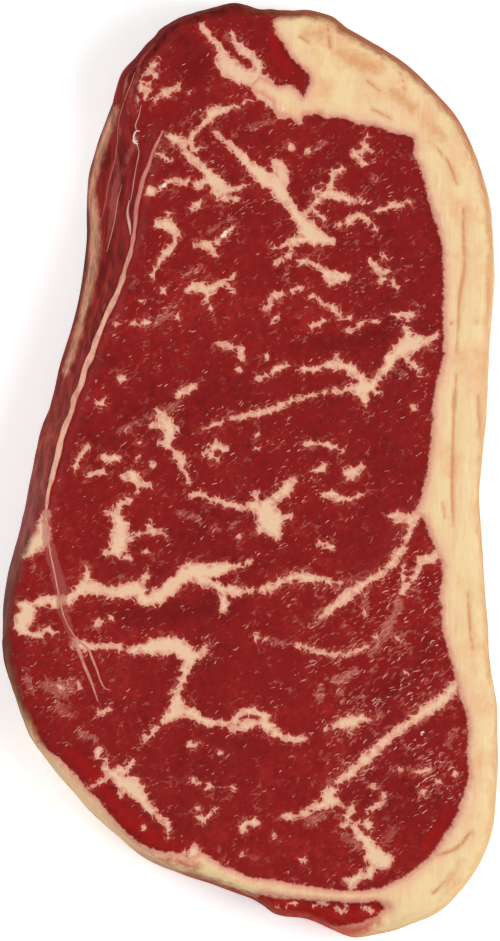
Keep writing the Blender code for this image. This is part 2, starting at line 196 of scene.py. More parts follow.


# Strokes of tissue, and of painted highlight (GLINT), as runs of x, y and half-width. A single point is a round fleck.
STROKES: dict[Tissue, tuple[Stroke, ...]] = {
    Tissue.FAT: (
        # Top end and the tongue of fat from the cap
        (
            (-10.2, 94.9, .35), (-9.1, 93.1, .4), (-7.6, 91.3, .5), (-6.3, 89.5, .8), (-5, 86.5, 1.8), (-3, 84.9, 1.9),
            (-1, 84, 1.8), (1, 83.3, 2), (3, 81.5, 2.4), (5, 79.5, 2), (7.5, 77.5, 2.5),
        ),
        (
            (-3.8, 93.1, .3), (-3.1, 91.5, .5), (-2.2, 90.2, .9), (-1.1, 89.1, 1), (0, 88.5, .9), (1.5, 86.8, .8),
            (1.8, 85, .9),
        ),
        ((-20.2, 79.3, .5), (-18.2, 80.4, .6), (-16.4, 81.1, .6), (-14.9, 82.2, .35)), ((-12.7, 80.7, .3),),
        ((-23.1, 81.6, .8),), ((-22.2, 79.3, .4), (-21.6, 82.2, .4)), ((-24.4, 79.3, .7),),
        ((-19.6, 87.5, .3), (-20.9, 86, .6), (-22.4, 84.2, .3), (-23.1, 82.2, .3)), ((-20.9, 86, .5), (-20.2, 84, .3)),
        (
            (0, 78.7, .25), (-2.9, 77.6, .3), (-5.1, 76.9, .4), (-7.8, 76.4, 1), (-8.7, 74.9, .6), (-10.5, 73.1, .4),
            (-12.7, 70.9, .35),
        ),
        (
            (-7.3, 72, .25), (-4.7, 69.8, .35), (-3.3, 68.4, .6), (-2.2, 67.3, .9), (-.7, 65.8, 1), (0, 64.9, 1),
            (1.5, 63.6, 1.4), (3.3, 62.2, 1.8), (5.5, 61.1, 1.8), (6.5, 59.3, 1.6), (7.6, 57.8, 1.2), (8.7, 56.4, .9),
            (9.8, 54.5, 1.1), (11.3, 52.7, 1.6), (12.7, 50.9, 2), (14.2, 49.5, 1.6), (16.7, 49.1, .9),
            (17.5, 48.4, .4),
        ),
        # Upper left of the eye muscle
        (
            (-17.3, 71.6, .5), (-16, 70.5, .9), (-14.5, 69.5, .9), (-13.5, 67.6, .6), (-12, 66.2, .6),
            (-10.2, 64.7, .6), (-8.7, 62.9, 1.2), (-7.3, 61.5, 1.5), (-5.8, 60.4, 1.3), (-4.4, 59.8, .6),
            (0, 60.7, .15),
        ),
        ((-7.3, 61, 1), (-6.9, 58.9, .8), (-5.1, 57.8, .6), (-2.5, 58, .5)),
        ((-12.7, 70, .7), (-11.8, 68.5, .3), (-10.2, 69, .2)),
        ((-16.4, 62.2, .3), (-14.9, 61.6, .6), (-12.7, 61.5, .5), (-10.9, 60.9, .7), (-8.7, 61.8, .7)),
        ((-19.8, 59.8, .3), (-18, 61, .35), (-16.9, 61.8, .3)), ((-21.3, 59.6, .9),),
        ((-19.4, 67.3, .4), (-18.5, 66.7, .5), (-17, 66.4, .4)),
        ((-19.3, 52.4, .9), (-18, 52.7, 1.1), (-16.7, 51.5, 1), (-15.3, 50.5, .7)),
        ((-18.2, 53.2, .5), (-17.1, 54.9, .35)),
        (
            (-15.6, 50.5, .3), (-16.2, 48.4, .3), (-17.5, 46.7, .8), (-18.9, 45.1, .3), (-20.4, 42.5, .25),
            (-20.9, 41.5, .35),
        ),
        ((-10.5, 57.3, .5), (-12.5, 55.6, .55)), ((-3.6, 52, .4), (-5.1, 50.7, .4), (-6.5, 49.5, .35)),
        ((-6.5, 49.3, .3), (-7.5, 48, .4)), ((-11.3, 48, .5), (-9.8, 48.2, .9), (-8.4, 47.3, .8), (-7.5, 46, .5)),
        (
            (-13.5, 38.4, .5), (-12.4, 38.9, .8), (-10.5, 39.1, 1), (-8.7, 38.5, 1.1), (-7.3, 39.5, .7),
            (-5.1, 40.4, .4), (-3.5, 41.6, .5),
        ),
        ((-9, 38, .6), (-9.8, 35.6, .3)), ((-8.4, 34.4, .45),), ((-5.1, 40, .3), (-3.6, 38.2, .2)),
        ((-23.1, 36.2, .5),), ((-18.5, 38.2, .5),), ((-15.6, 32.7, .5),), ((-28.5, 31.3, .4),),
        ((-25.1, 31.5, .35), (-23.3, 31.3, .35), (-21.8, 31.5, .55)),
        ((-6.9, 26.9, .25), (-5.1, 26.7, .5), (-2.9, 26.2, .5), (-1.8, 25.6, .4), (-1.8, 23.6, .3)),
        ((-2.5, 21.5, .4),), ((-27.5, 19.5, .8),),
        ((-15.3, 16.4, .6), (-14.2, 16.7, .8), (-12.7, 17.5, .6), (-11.5, 18.4, .3)), ((-31.5, 14.4, .55),),
        ((-32.3, 14.6, .2), (-30.6, 14.1, .2)), ((-31.4, 15.4, .2), (-31.6, 13.4, .2)),
        # Middle left
        (
            (-19.6, 12.7, .4), (-18.5, 10.9, 1), (-17.1, 9.1, 1.3), (-17.3, 7.6, 1.1), (-17.8, 5.8, .8),
            (-16.4, 4.4, .3), (-14.9, 2.5, .9), (-14.5, .2, .35), (-13.5, -1.1, .3), (-13.1, -2.4, .45),
        ),
        ((-20.9, 9.6, .3), (-18.5, 9.4, .5)), ((-17, 8.9, .5), (-15.6, 8.7, .5)), ((-17.8, 6, .6), (-19.6, 5.8, .4)),
        ((-7.3, 5.1, .9), (-8.7, 4.4, .5), (-10.2, 3.6, .3)), ((-7.3, 5.1, .5), (-7.3, 6.9, .2)),
        ((-7.3, 5, .5), (-5.1, 4.4, .35)), ((-7.6, 4.6, .4), (-8.7, 2.2, .2)), ((-7.2, 4.6, .4), (-6.9, 1.8, .15)),
        ((-34.9, 4.9, .5), (-35.6, 3.8, .35), (-36.7, 2.9, .3), (-37.1, 1.1, .25), (-37.8, 0, .2)),
        ((-31.1, 2.9, .5), (-29.8, 2.5, .9), (-27.6, 2.7, .3)),
        ((-34.5, -1.1, .5), (-32.7, -.4, .3), (-31.3, -.4, .3)),
        ((-26.9, -1.5, .5), (-25.1, -1.1, 1.2), (-24, -2.5, .7), (-22.5, -3.1, .8), (-20.9, -3.3, .2)),
        ((-24, -4.4, .3), (-24.1, -3, .4)), ((-24, 2.7, .4),), ((-20.9, 1.1, .45),), ((-23.5, 6, .35),),
        ((-26.4, 8.5, .35),),
        (
            (-25.6, -6.4, .5), (-26.9, -6.7, .6), (-28.2, -8, .7), (-28.5, -9.8, .8), (-27.6, -11.6, 1.5),
            (-27.8, -13.8, 1.6), (-28, -16, 1.8), (-28.4, -16.9, 1.6),
        ),
        ((-28.6, -17, .7), (-30.5, -17.5, .45)), ((-27.8, -17.4, .6), (-26.5, -18.5, .3), (-25.5, -18.7, .2)),
        ((-28.6, -9.2, .4), (-30.5, -8.9, .3)),
        (
            (-27, -14.9, .4), (-25.6, -14.7, .4), (-24, -13.8, .45), (-21.8, -13.1, .4), (-20.2, -12.9, .6),
            (-18.2, -13.8, .2),
        ),
        ((-21.8, -13, .3), (-21.5, -10.9, .15)),
        (
            (-13.1, -5.3, .2), (-10.5, -5.1, .5), (-8.7, -6, .4), (-6.9, -6.4, .35), (-5.1, -7.1, .5),
            (-3.3, -7.6, .6), (-1.5, -8.2, .5), (0, -7.8, .7), (1.5, -7.6, 1),
        ),
        ((-22, -17.3, .5),), ((-8, -12.4, .4),), ((-2.2, -14.4, .5),),
        # Left edge patches and the long seam below the middle
        ((-43.6, -9.5, .9), (-44, -12, 1.3), (-44.5, -14.5, 1.9), (-46.3, -16, 1.7), (-48, -17.8, 1.2)),
        (
            (-45.1, -28.2, .9), (-43.5, -27.8, 1), (-41.5, -27.8, 1.3), (-39.6, -27.8, 1.2), (-38.2, -26.9, .9),
            (-36.7, -25.8, 1), (-34.9, -24.9, 1.6), (-32.7, -25.1, 1.3), (-30.5, -25.8, 1.1), (-28.4, -26, 1.3),
            (-26.2, -25.6, 1.7), (-24, -25.3, 1.6), (-23.3, -26.7, 1.2), (-21.5, -27.5, 1.3), (-19.3, -26.7, 1.6),
            (-17.5, -25.3, 1.5), (-15.6, -23.8, 1.4), (-13.5, -22, 1.8), (-11.3, -21.5, 1.7), (-8.7, -21.6, 1.6),
            (-6.2, -20.9, 1.3), (-4, -20.4, .6), (-1.5, -20, .3), (0, -19.4, .2),
        ),
        ((-34.9, -23.5, .6), (-34.5, -20.7, .35)), ((-22.9, -24, .5), (-22.2, -22.4, .4), (-21.8, -21.6, .3)),
        (
            (-11.5, -22.5, 1.2), (-9.8, -23.5, 1.2), (-8, -24.2, .8), (-5.8, -25.3, .7), (-4, -25.6, 1),
            (-2.2, -25.8, .7), (0, -25.6, .3), (2.2, -25.5, .4), (4, -25.1, .8), (5.5, -24.7, .6), (6.9, -23.5, .6),
            (8.7, -22.9, .8), (10.9, -22.5, 1), (13.1, -23.1, .8), (15.3, -23.3, .5), (17.5, -23.8, .4),
            (21, -23.8, .15),
        ),
        ((-5.7, -25.8, .6), (-5.6, -27.1, .7), (-5.5, -29.3, .8)),
        (
            (-48.7, -28.5, .8), (-47.3, -29.6, 1.5), (-48, -31.5, 2), (-48.7, -33.1, 1.6), (-47.3, -34.9, .5),
            (-45.1, -35.1, .7), (-43.3, -34, .6), (-41.5, -34.9, .3),
        ),
        ((-32.4, -32.5, .8),), ((-29.6, -31.5, .5),),
        (
            (-36.7, -36.9, 1.2), (-34.9, -37.6, .9), (-32.7, -37.6, .6), (-30.5, -37.3, .5), (-28.4, -37.6, .5),
            (-26.2, -38.4, .5), (-24.4, -38.4, .7), (-22.2, -37.8, 1.3), (-20, -37.6, 1.7), (-17.8, -37.3, 1.8),
            (-15.6, -37.5, 1.9), (-14.2, -38.7, 1.6), (-12.7, -39.6, 1.6), (-10.9, -39.1, .8), (-9.5, -38, .6),
        ),
        (
            (-12.7, -40.2, 1.3), (-13.5, -41.6, 1.1), (-13.8, -43.1, .8), (-14.5, -44.9, .7), (-15.3, -46.4, .6),
            (-15.5, -48.2, .7), (-15.6, -50, 1.4), (-15.6, -51.5, 1.5),
        ),
        ((-15.3, -47, .5), (-16.6, -47.4, .45)),
        (
            (-15.8, -51.8, 1.3), (-16.7, -52.2, 1.3), (-17.8, -52.9, 1), (-19.3, -54, .35), (-20.4, -55.8, .5),
            (-22.5, -57.3, .35),
        ),
        (
            (-14.2, -51.1, 1), (-12.4, -51.8, 1), (-10.5, -52.9, .8), (-9.1, -53.6, .9), (-6.5, -53.6, .4),
            (-4.4, -54.5, .6), (-2.2, -54.9, .8), (0, -54, .8), (2.2, -53.6, .6), (3.6, -54.2, 1.2), (4.7, -55.3, .9),
            (6.2, -56.4, .8), (8.7, -57.3, .5), (12, -57.1, .2),
        ),
        ((-3.2, -53.6, .4), (-2.5, -52.2, .4), (0, -51.3, .5), (2.2, -51.8, .6), (3.3, -52.9, 1.1)),
        # Lower left
        ((-41.2, -45.6, .2), (-40.2, -46.2, .3)), ((-38.4, -44.7, .35),), ((-36.6, -45.4, .25), (-36.2, -46.8, .2)),
        ((-31.3, -51.3, .7),), ((-32.4, -51.6, .2), (-30, -50.8, .2)), ((-32.2, -59.6, .5), (-32.7, -61.1, .4)),
        (
            (-30.5, -61.8, .4), (-30.9, -63.3, .6), (-29.1, -64.7, 1.1), (-27.3, -66.2, 1.5), (-25.1, -67.6, 1.9),
            (-23.6, -69.1, 1.5), (-22.5, -70.5, 1.1), (-21.1, -72.4, .7), (-19.3, -74, .6), (-17.6, -75.3, .5),
            (-17.6, -78.2, .15),
        ),
        ((-28.4, -65, .8), (-27.6, -64, .9)), ((-25.4, -67, 1), (-24.7, -66.2, .9)),
        ((-26.4, -67.6, .8), (-27.6, -68.9, .55)), ((-30.5, -64.3, .4), (-30.9, -65.8, .25), (-34.5, -67.8, .2)),
        ((-27, -64.4, .4), (-25.8, -63.3, .3), (-24.7, -61.8, .25)), ((-10.9, -74, .4), (-9.8, -74.9, .6)),
        ((-9.6, -74.5, .3), (-8.7, -73.5, .25), (-7.5, -71.8, .2)), ((-11.5, -72, .4),),
        ((-.9, -75.3, .9), (-1.8, -77.1, .4)), ((-.4, -75.2, .5), (1, -75, .7)), ((-8.7, -67.5, .6),),
        ((-3.8, -67.8, .4),), ((-12.9, -65.8, .4), (-11.3, -66.4, .4)), ((-11.5, -58.4, .45), (-12.9, -58.5, .4)),
        ((-6.4, -60, .4),), ((-1.5, -81.8, .5),), ((-22.7, -76, .4),),
        ((-11.6, -80, .3), (-12, -81.8, 1.5), (-11.3, -83.6, 1.9), (-10.5, -85.1, .8)),
        ((-12.4, -81.6, .7), (-14.2, -81.6, .35)), ((-10.6, -83.2, .8), (-9.1, -83.3, .35), (-6.5, -83.8, .3)),
        # Threads on the tail muscle
        ((13.5, -92.9, .2), (15.2, -92, .3), (16.4, -92.9, .2)),
        ((18.6, -93, .25), (19.6, -94.2, .3), (20.4, -93.1, .2)), ((24, -93.2, .25), (26.2, -94, .3)),
        ((8, -92.7, .3), (9.6, -92.4, .2)), ((5.5, -93, .2), (6.5, -94, .25)),
        # Upper right of the eye muscle
        ((5.1, 65.8, .5), (6.2, 64.7, 1.2), (6.9, 62.9, 1.3), (6.4, 61.3, 1.3)),
        ((13, 50.2, 1), (11.6, 49.4, .9), (10.2, 49.1, .9), (8.4, 48.4, .8), (6.5, 47.8, .4), (4.7, 47.3, .2)),
        ((8.7, 46.9, .5), (8.4, 46, .5), (6.5, 44.7, .25), (5.1, 44, .2)),
        (
            (9.8, 54.2, .4), (10.9, 54.5, .4), (12.7, 55.6, .4), (13.8, 57.1, .5), (14.9, 58, .6), (15.6, 58.7, .9),
            (17.1, 59.1, .9), (18.9, 58.4, .9), (21.1, 57.8, .7), (23.3, 57.5, .4), (25.5, 57, .15),
        ),
        ((16.8, 59.5, .7), (17.1, 60.4, .5), (17.5, 61.8, .4), (18, 63.3, .8), (19.8, 64.5, .15)),
        ((15.3, 59, .5), (14.5, 59.5, .3)), ((15.1, 60.5, .35), (13.5, 59.8, .2)),
        ((13.8, 55.3, .2), (15.6, 53.5, .2)),
        ((18.9, 52.4, .3), (20.7, 52.9, .5), (22.2, 54, .7), (24, 54.2, .6), (25.5, 52.4, .35), (26.9, 51.1, .2)),
        ((27, 55.3, .2), (29.1, 56, .3), (30.4, 56.4, .7), (32.7, 56.5, .2), (34.4, 57.5, .2)),
        ((25.1, 71.3, .2), (24.2, 69.8, .3), (24.9, 68.2, .5), (22.5, 67.8, .5), (22.9, 66.5, .4), (24.4, 65.3, .35)),
        ((25, 68.1, .3), (25.8, 68, .2)), ((8.7, 68.9, .5),), ((12.4, 68, .5),), ((26.5, 62.5, .45),),
        (
            (10.2, 44.4, .4), (12, 44.4, .6), (14.2, 43.6, .5), (15.6, 42.5, .6), (17.1, 41.3, 1.3), (18.9, 41.3, 1.2),
            (21.1, 40.7, .5),
        ),
        ((17.1, 40.6, .7), (17.5, 39.8, .5)), ((25.5, 44.9, .3), (26.6, 43.6, .6), (28.5, 42.2, .6), (29.8, 42.5, .3)),
        ((26.9, 40.2, .35), (28.7, 40.9, .3)), ((30.2, 40.4, .2), (32, 38.5, .25)),
        ((28.4, 46.4, .3), (28.9, 45.1, .25)),
        ((10.9, 39.1, .35), (7.3, 37.8, .3), (4.7, 36.9, .7), (4.2, 35.6, .3), (3.5, 34.5, .5)),
        ((5.5, 32.5, .3), (4.7, 31.6, .3)),
        ((12.4, 37.3, .3), (14.5, 36.7, .3), (16.4, 35.3, .25), (18.2, 34.4, .5), (19.3, 32.9, .6), (21.5, 32.5, .2)),
        ((23.8, 31.8, .25), (22.9, 30.5, .3), (21.1, 29.8, .3)), ((25.5, 31.3, .3), (27.1, 32, .35)),
        ((15.8, 32, .4), (12.9, 30.5, .35)), ((30.2, 33.5, .2), (33.5, 32.9, .6), (34.7, 33.6, .25)),
        ((33.4, 32.7, .4), (33.5, 31.8, .3)),
        # The branching seam at the right of the eye muscle
        ((33.3, 30.4, .6), (33.6, 29.1, .8), (34.2, 27.6, 1.3), (36.4, 27.6, 1.2), (37.8, 27.6, .5), (40, 29.1, .3)),
        (
            (34.2, 27.6, 1.3), (34.9, 26.9, 1.5), (32.7, 26.2, 1.8), (31.3, 24.7, 1.3), (29.8, 23.6, 1.2),
            (29.1, 22.2, .9), (28.2, 20.7, .7), (26.9, 18.9, .6), (25.5, 18, 1.2),
        ),
        ((33, 24.6, .5), (34.5, 22.5, .5), (36, 21.8, .4), (36.4, 20.4, .45)), ((24, 17.5, 1.9), (25.5, 17.8, 1.2)),
        ((24.1, 16.8, 1.4), (24.4, 15.6, 1), (24.4, 14.2, .4)), ((25.5, 17.2, .5), (27.6, 16.4, .25)),
        ((23.2, 17.5, .9), (21.8, 17.5, .7), (20.7, 17.3, .45)),
        (
            (11.6, 21.5, .6), (13.5, 21.5, .3), (15.3, 22.2, .5), (17.5, 22.4, .9), (18.9, 22.4, .9), (20.4, 22, 1),
            (21.8, 21.3, .9), (23.3, 20, .8), (24, 18.5, 1.2),
        ),
        ((18.8, 22.9, .5), (18.7, 24.5, .25)), ((8.4, 22.4, .3), (6.5, 22, .5), (3.6, 20.4, .3), (1.8, 19.6, .25)),
        ((3.5, 24.4, .5),), ((34.9, 13.5, .5),),
        (
            (-9.5, 9.1, .15), (-5.1, 10.7, .2), (-3.3, 11.1, .3), (0, 11.8, .5), (2.9, 12.5, .55), (5.8, 13.6, .5),
            (8.4, 14.7, .35), (9.8, 15.2, .45), (12.7, 15.8, .25), (15.6, 16.5, .25), (18.9, 17.1, .4),
            (21.1, 17.3, .5),
        ),
        # Middle right
        ((12, 5.9, .5), (15.3, 5.8, .25), (18.2, 4.9, .4), (19.6, 4, .2)), ((1.6, 7.6, .4),), ((1.5, 4.9, .4),),
        ((15.6, .7, .7), (13.8, -.4, .4)), ((23.6, .9, .4), (22.5, .2, .8), (21.8, -.5, 1.1), (20, -.4, .6)),
        ((20.8, -.8, .4), (20.7, -1.8, .35)),
        ((15.8, -5.1, .4), (17.5, -5.1, .7), (18.9, -6, .7), (21.5, -6, .3), (24.7, -4.7, .15)),
        (
            (9.3, -2.2, .5), (8, -3.5, 1.1), (7.1, -4.7, 1.1), (5.5, -5.8, .8), (4, -7.1, 1.2), (3.3, -8.7, 2.2),
            (4.4, -10.9, 2.6), (5.1, -12.4, 1.8), (5.5, -14.2, .45),
        ),
        ((1.5, -7.6, 1), (3, -8.4, 1.4)), ((1.1, -4.7, .5), (1.3, -6.2, .35), (1.6, -7.4, .5)),
        ((2.9, -11.6, 1), (1.8, -12.5, .8)), ((6, -10.2, .7), (7.3, -9.8, .5), (8.9, -9.6, .4)),
        ((29.8, -9.8, .4), (31.6, -9.5, .5), (33.5, -10.4, .9), (34.9, -10.7, .9)),
        ((32.4, -10.6, .3), (30.9, -10.9, .3)),
        (
            (36.8, -8, 1), (35.5, -10, .8), (34.3, -12.5, .6), (33, -15.5, .5), (31.2, -18.5, .9), (29.3, -20.7, .6),
            (26.8, -22.7, .5), (24, -24.3, .8), (21, -26.5, .8), (18.2, -29, .7), (15.5, -30.8, .5), (14.7, -31.7, .2),
        ),
        ((14.9, -15.6, .5), (17.5, -16.4, .4)),
        (
            (40, -17.6, .9), (38.2, -18.7, 1), (36.4, -18.9, .6), (36.4, -20.2, .5), (35.6, -21.6, .5),
            (34.2, -23.8, .4), (32.5, -25.8, .65),
        ),
        ((32.9, -20.5, .3), (32.7, -23.1, .3)), ((24.3, -30.3, .45),),
        # Lower right lobe
        (
            (10, -37.1, .35), (12, -37.8, .5), (13.8, -38.5, .55), (15.6, -38.7, .3), (17.5, -39.3, .45),
            (19.6, -39.3, .35), (22.5, -38.7, .2), (25.5, -37.3, .2),
        ),
        (
            (16, -55.3, .35), (18.2, -54.5, .6), (20, -53.8, 1.1), (21.8, -53.6, 1.2), (23.6, -52.9, .8),
            (25.5, -53.3, .4),
        ),
        ((21.8, -55.3, .6), (21.8, -54, .8)),
        (
            (44.2, -45.5, .9), (43, -46.7, 1), (40.5, -49.5, 1.3), (38, -51, 1.1), (35, -53, .8), (32, -55, .7),
            (29, -57.5, .8), (27, -59.5, .9), (24, -62, .9), (22.5, -63.5, .6), (21.5, -64.5, .9), (19, -66, .35),
            (17.5, -67.5, .35), (17.2, -68.6, .6),
        ),
        ((17.5, -68.4, .9), (16.7, -69.5, 1.3), (17.8, -70.5, 1.2)),
        ((16.8, -70.2, 1), (15.3, -71.3, 1), (13.5, -71.6, .7), (11.6, -73.1, .3), (7.6, -74, .45)),
        ((18.2, -70.8, .6), (19.6, -71.6, .3)),
        ((21.8, -72, .5), (20.7, -73.5, .8), (21.5, -74.9, .5), (20, -75.6, .3)),
        (
            (21.5, -74.9, .5), (22.4, -76.5, .5), (23.3, -77.8, .8), (24.7, -78.9, 1.1), (25.8, -80.7, 1.2),
            (26.5, -82.5, 2), (28.7, -83.3, 1.6), (29.8, -82.5, .5),
        ),
        ((25.5, -75.6, .9), (23.6, -75.1, .4)),
        ((25.8, -84.4, .8), (25.5, -86.2, .7), (23.3, -86.2, .8), (21.8, -88, 1), (20.7, -87.5, .6)),
        ((25.1, -72.9, .3), (26.9, -71.5, .4), (28.4, -70.9, .35)), ((26.4, -67.1, .5),), ((28.4, -69.5, .4),),
        ((37.6, -63.6, .5), (35.3, -64.7, .2)), ((36.9, -68.5, .5),), ((32.2, -63.8, .4),), ((40.2, -66.2, .4),),
        ((43.5, -64.5, .5),), ((33.3, -43.1, .35),), ((31.6, -35.8, .5),), ((26.9, -35.5, .5),), ((11.3, -83.3, .5),),
        ((5.1, -77.8, .3),), ((1.5, -35.6, .55), (3.2, -36, .3)),
    ),
    Tissue.SOFT: (
        ((-13.5, 78, .1), (-10.9, 75.6, .12), (-8.7, 73.5, .15), (-7.3, 72, .25)),
        ((-9.1, 50.4, .15), (-5.8, 53, .2), (-3.6, 53.8, .15)),
        ((-20.2, 31.6, .4), (-17.8, 34, .5), (-15.6, 36.4, .4)),
        ((-14.2, 41.1, .4), (-12, 42.5, .5), (-10.4, 43.8, .4)),
        ((-18.2, 13.1, .4), (-16, 13.6, .5), (-14.7, 14.2, .4)),
        ((-20.4, 12, .3), (-22.9, 10.9, .3), (-26.2, 9.1, .3), (-28.2, 8.4, .2)),
        ((-15.3, -8.9, .4), (-13.8, -9.6, .6), (-11.6, -10, .4), (-10.4, -11.3, .3)), ((-3.8, -11.6, .5),),
        ((0, 72.9, .4), (2.2, 73.8, .5), (5.1, 74.2, .3)), ((-3.6, 71.3, .2),), ((13.5, 68, .2), (15.8, 69.8, .2)),
        ((8.4, 43.3, .2), (6.9, 41.1, .2)), ((38.5, 26.2, 1.1),), ((32.4, 20.4, .8),),
        ((32, -27.8, .7), (30.9, -30.7, .8), (29.1, -34, .8), (27.3, -37.3, .8), (25.5, -39.1, .6)),
        ((23.8, -25.6, .2), (24.7, -27.5, .2), (24.9, -29.6, .2)),
        ((1.5, -35.6, .4), (5.5, -36.7, .4), (10, -37.1, .35)),
        ((18.5, -44.7, .6), (20.7, -44.2, .6), (22.5, -42.9, .4)), ((19.6, -47.1, .5),),
        ((14.5, -48.4, .5), (15.3, -46.2, .3)), ((27.6, -51.8, .7),),
        ((-44, -45.5, .6), (-41, -46.5, 1.8), (-38.5, -46, 1.6)), ((-41, -50.5, 1), (-38, -52, .8)),
        ((-48, -43, .5), (-46.5, -47, .6)), ((-36, -56, .5), (-33, -57.5, .5)), ((20, -78, .8), (23, -80, 1)),
        ((12, -75.5, .7), (16, -73.5, .8)), ((29, -79, .7), (31, -76, .5)),
    ),
    Tissue.MEMBRANE: (
        (
            (-43.3, -9, .9), (-43.3, -14, 1), (-42.3, -18, 1.2), (-41.2, -22, 1.3), (-40.2, -26, 1.3), (-40, -30, 1.1),
            (-39.1, -31.8, .9), (-38.5, -34, .8), (-37.8, -35.8, .8), (-37.1, -36.9, .6),
        ),
        ((-20, 92, .35), (-23, 88, .4), (-24, 85, .35)), ((-24, 84, .3), (-25.5, 80, .4), (-26, 76, .3)),
        ((-27.5, 76, .1), (-28, 71, .2), (-28.7, 67, .2), (-29.8, 63, .2), (-30.5, 58, .2), (-31.5, 54, .1)),
        ((-24.5, 70, .5), (-27, 65, .7), (-28.5, 60, .8), (-29, 55, .8), (-29.7, 51, .6), (-30.3, 48, .4)),
        ((-24.3, 71, .7),), ((-30.5, 39.6, .3), (-30.7, 38.2, .2)), ((-30.7, 35.3, .3), (-31.3, 34.2, .2)),
        ((-46, 5, .9), (-47, -3, 1.1), (-48, -10, .9)),
        ((-43.5, -6, .4), (-45.2, 1, .4), (-42.6, 8, .4), (-41, 14, .3)),
        ((-38.5, 21, .3), (-36.6, 27, .3), (-34.4, 33, .3)),
    ),
    Tissue.TAN: (
        (
            (-26.6, 84.6, .2), (-27.5, 81.5, .45), (-29, 77.2, .6), (-30.4, 73, .65), (-31.8, 68.5, .6),
            (-33.2, 63.8, .55), (-34, 59.8, .5), (-33.6, 55.5, .9), (-33.3, 51, 1), (-33.5, 45.5, 1),
            (-34.7, 38.4, .9), (-36.6, 30, .6), (-39.6, 20.5, .4),
        ),
        ((-46.3, 4, .3), (-47.2, -3, .45), (-48.4, -9.5, .4)),
    ),
    Tissue.CRACK: (
        ((45.5, 56, .08), (45.5, 49, .2), (45.7, 43.5, .22), (44.6, 36.7, .24), (44.4, 31, .16), (44, 25, .08)),
        (
            (43.9, 20.5, .08), (43.8, 18, .12), (43.5, 14.6, .32), (43.4, 11, .1), (43.3, 6.4, .18), (43.1, 0, .2),
            (43.1, -6.4, .18), (43.3, -12, .08),
        ),
        ((48.6, 16, .15), (49, 10.6, .32), (49.3, 6.4, .15)), ((48.2, 31.8, .2),),
        ((50.8, 36.2, .35), (50.9, 38.4, .2)), ((42.9, 31.4, .25),), ((41, -7, .12), (41.5, -10, .12)),
        ((49.7, -20, .15), (49.9, -25, .35), (50.3, -31, .3), (50.8, -38, .4), (51.3, -44, .15)),
        ((50.9, 41, .1), (51, 36, .25), (50.7, 31, .1)), ((46.4, -26, .1), (46.8, -33, .15), (47.4, -38, .1)),
        ((16.5, 95, .15), (17, 90, .12)), ((10.5, 92.5, .15), (12.5, 91.3, .12)), ((25, 83, .12), (27.5, 81, .12)),
        ((32, 85, .12), (33, 81, .1)), ((26, 77, .1), (30, 75, .12)),
        ((38.5, 70, .12), (42, 66, .18), (44.2, 61, .12)), ((47, -77, .2), (44, -80.5, .3), (40, -82, .2)),
        ((45, -83, .2), (42, -87.5, .3), (39, -90, .2)),
    ),
    Tissue.STAIN: (
        ((15, -98, .8), (19, -98, 1.6), (23.5, -97.6, 1.5), (27, -95.8, .6)),
        ((-18.5, -82.7, .2), (-15, -83.4, .4), (-11.5, -84.2, .3)), ((19, 89, .6), (22.5, 87.2, 1.3), (27, 86, .8)),
        ((12, 94, .4), (15, 92.5, .8)), ((30, 81, .4), (34.5, 77.5, .8)), ((38, 74, .3), (41, 71, .5)),
    ),
    Tissue.BRIGHT: (
        ((3.0, -93.0, 1.2), (14.0, -94.4, 1.8), (27.0, -94.2, 1.2)),
        ((-38, -60, .8), (-33.5, -64.5, 1), (-29.5, -70, 1.2), (-25.5, -74.5, 1.4), (-21, -78.2, 1.5), (-16, -80, 1)),
        ((42.5, -72, .4), (40, -77, .6), (37, -80.5, .3)), ((5, 93, 1), (6, 89, 1), (8, 85, .6)),
    ),
    Tissue.DARK: (
        (
            (-26.9, 85.4, .25), (-28.4, 81.1, .35), (-30, 76.8, .45), (-31.7, 72.6, .5), (-33, 68.3, .45),
            (-34.1, 64, .35), (-34.8, 59.8, .3), (-34.8, 55.5, .35), (-34.7, 51.2, .4), (-35.2, 47, .4),
            (-35.2, 42.7, .4), (-35.9, 38.4, .3), (-36.9, 34.1, .25), (-38.2, 29.9, .2),
        ),
        ((-25.7, 50, .15), (-26.4, 46, .25), (-27.8, 41, .3), (-29.8, 36, .3), (-32.5, 29.5, .25)),
        ((-27.5, 71, .3), (-27.3, 66, .5), (-27.6, 61, .4)),
    ),
    Tissue.SHADE: (
        ((-14, 92, 1.5), (-12, 87, 2.5), (-13, 84, 1.5)), ((8, 94, .5), (8, 90, .5)),
        ((-30, -30.5, .8), (-22, -31.5, 1.6), (-12, -30, 1.4), (-4, -29.5, .5)),
        ((-26, 66, 1), (-26.5, 58, 1.3), (-27.5, 50, 1)), ((10, 27, .5), (22, 27, 1.5), (28, 30, .5)),
        ((28, -48, .6), (36, -42, 1.2), (38, -36, .8)), ((-36, 22, .5), (-30, 24, 1)),
    ),
    # Painted highlights: small near-white glints laid into the colour
    Tissue.GLINT: (
        ((-19.4, 60, .08), (-18, 61, .14), (-17, 61.7, .05)),
        ((-3.7, 51.9, .05), (-5.1, 50.7, .14), (-6.4, 49.7, .05)), ((36.3, -56.2, .02), (37.3, -55.5, .02)),
        ((9.6, -79.5, .15),), ((8, -85.7, .15),), ((-24.2, 71.6, .12), (-24.6, 70.4, .15), (-24, 69.6, .1)),
        ((-12, 76.2, .1), (-10.6, 76.6, .12)), ((6.3, 76.4, .1), (7.2, 77, .1)), ((-14, 38, .1), (-13, 38.4, .12)),
    ),
}


@dataclass(frozen=True)
class Cord:
    """A raised cord of membrane: x, y and half-width along it, and how far its colour goes to near-white, partly its
    own paleness and partly painted highlight.
    """

    stroke: Stroke
    paleness_and_glint: float = 0.0


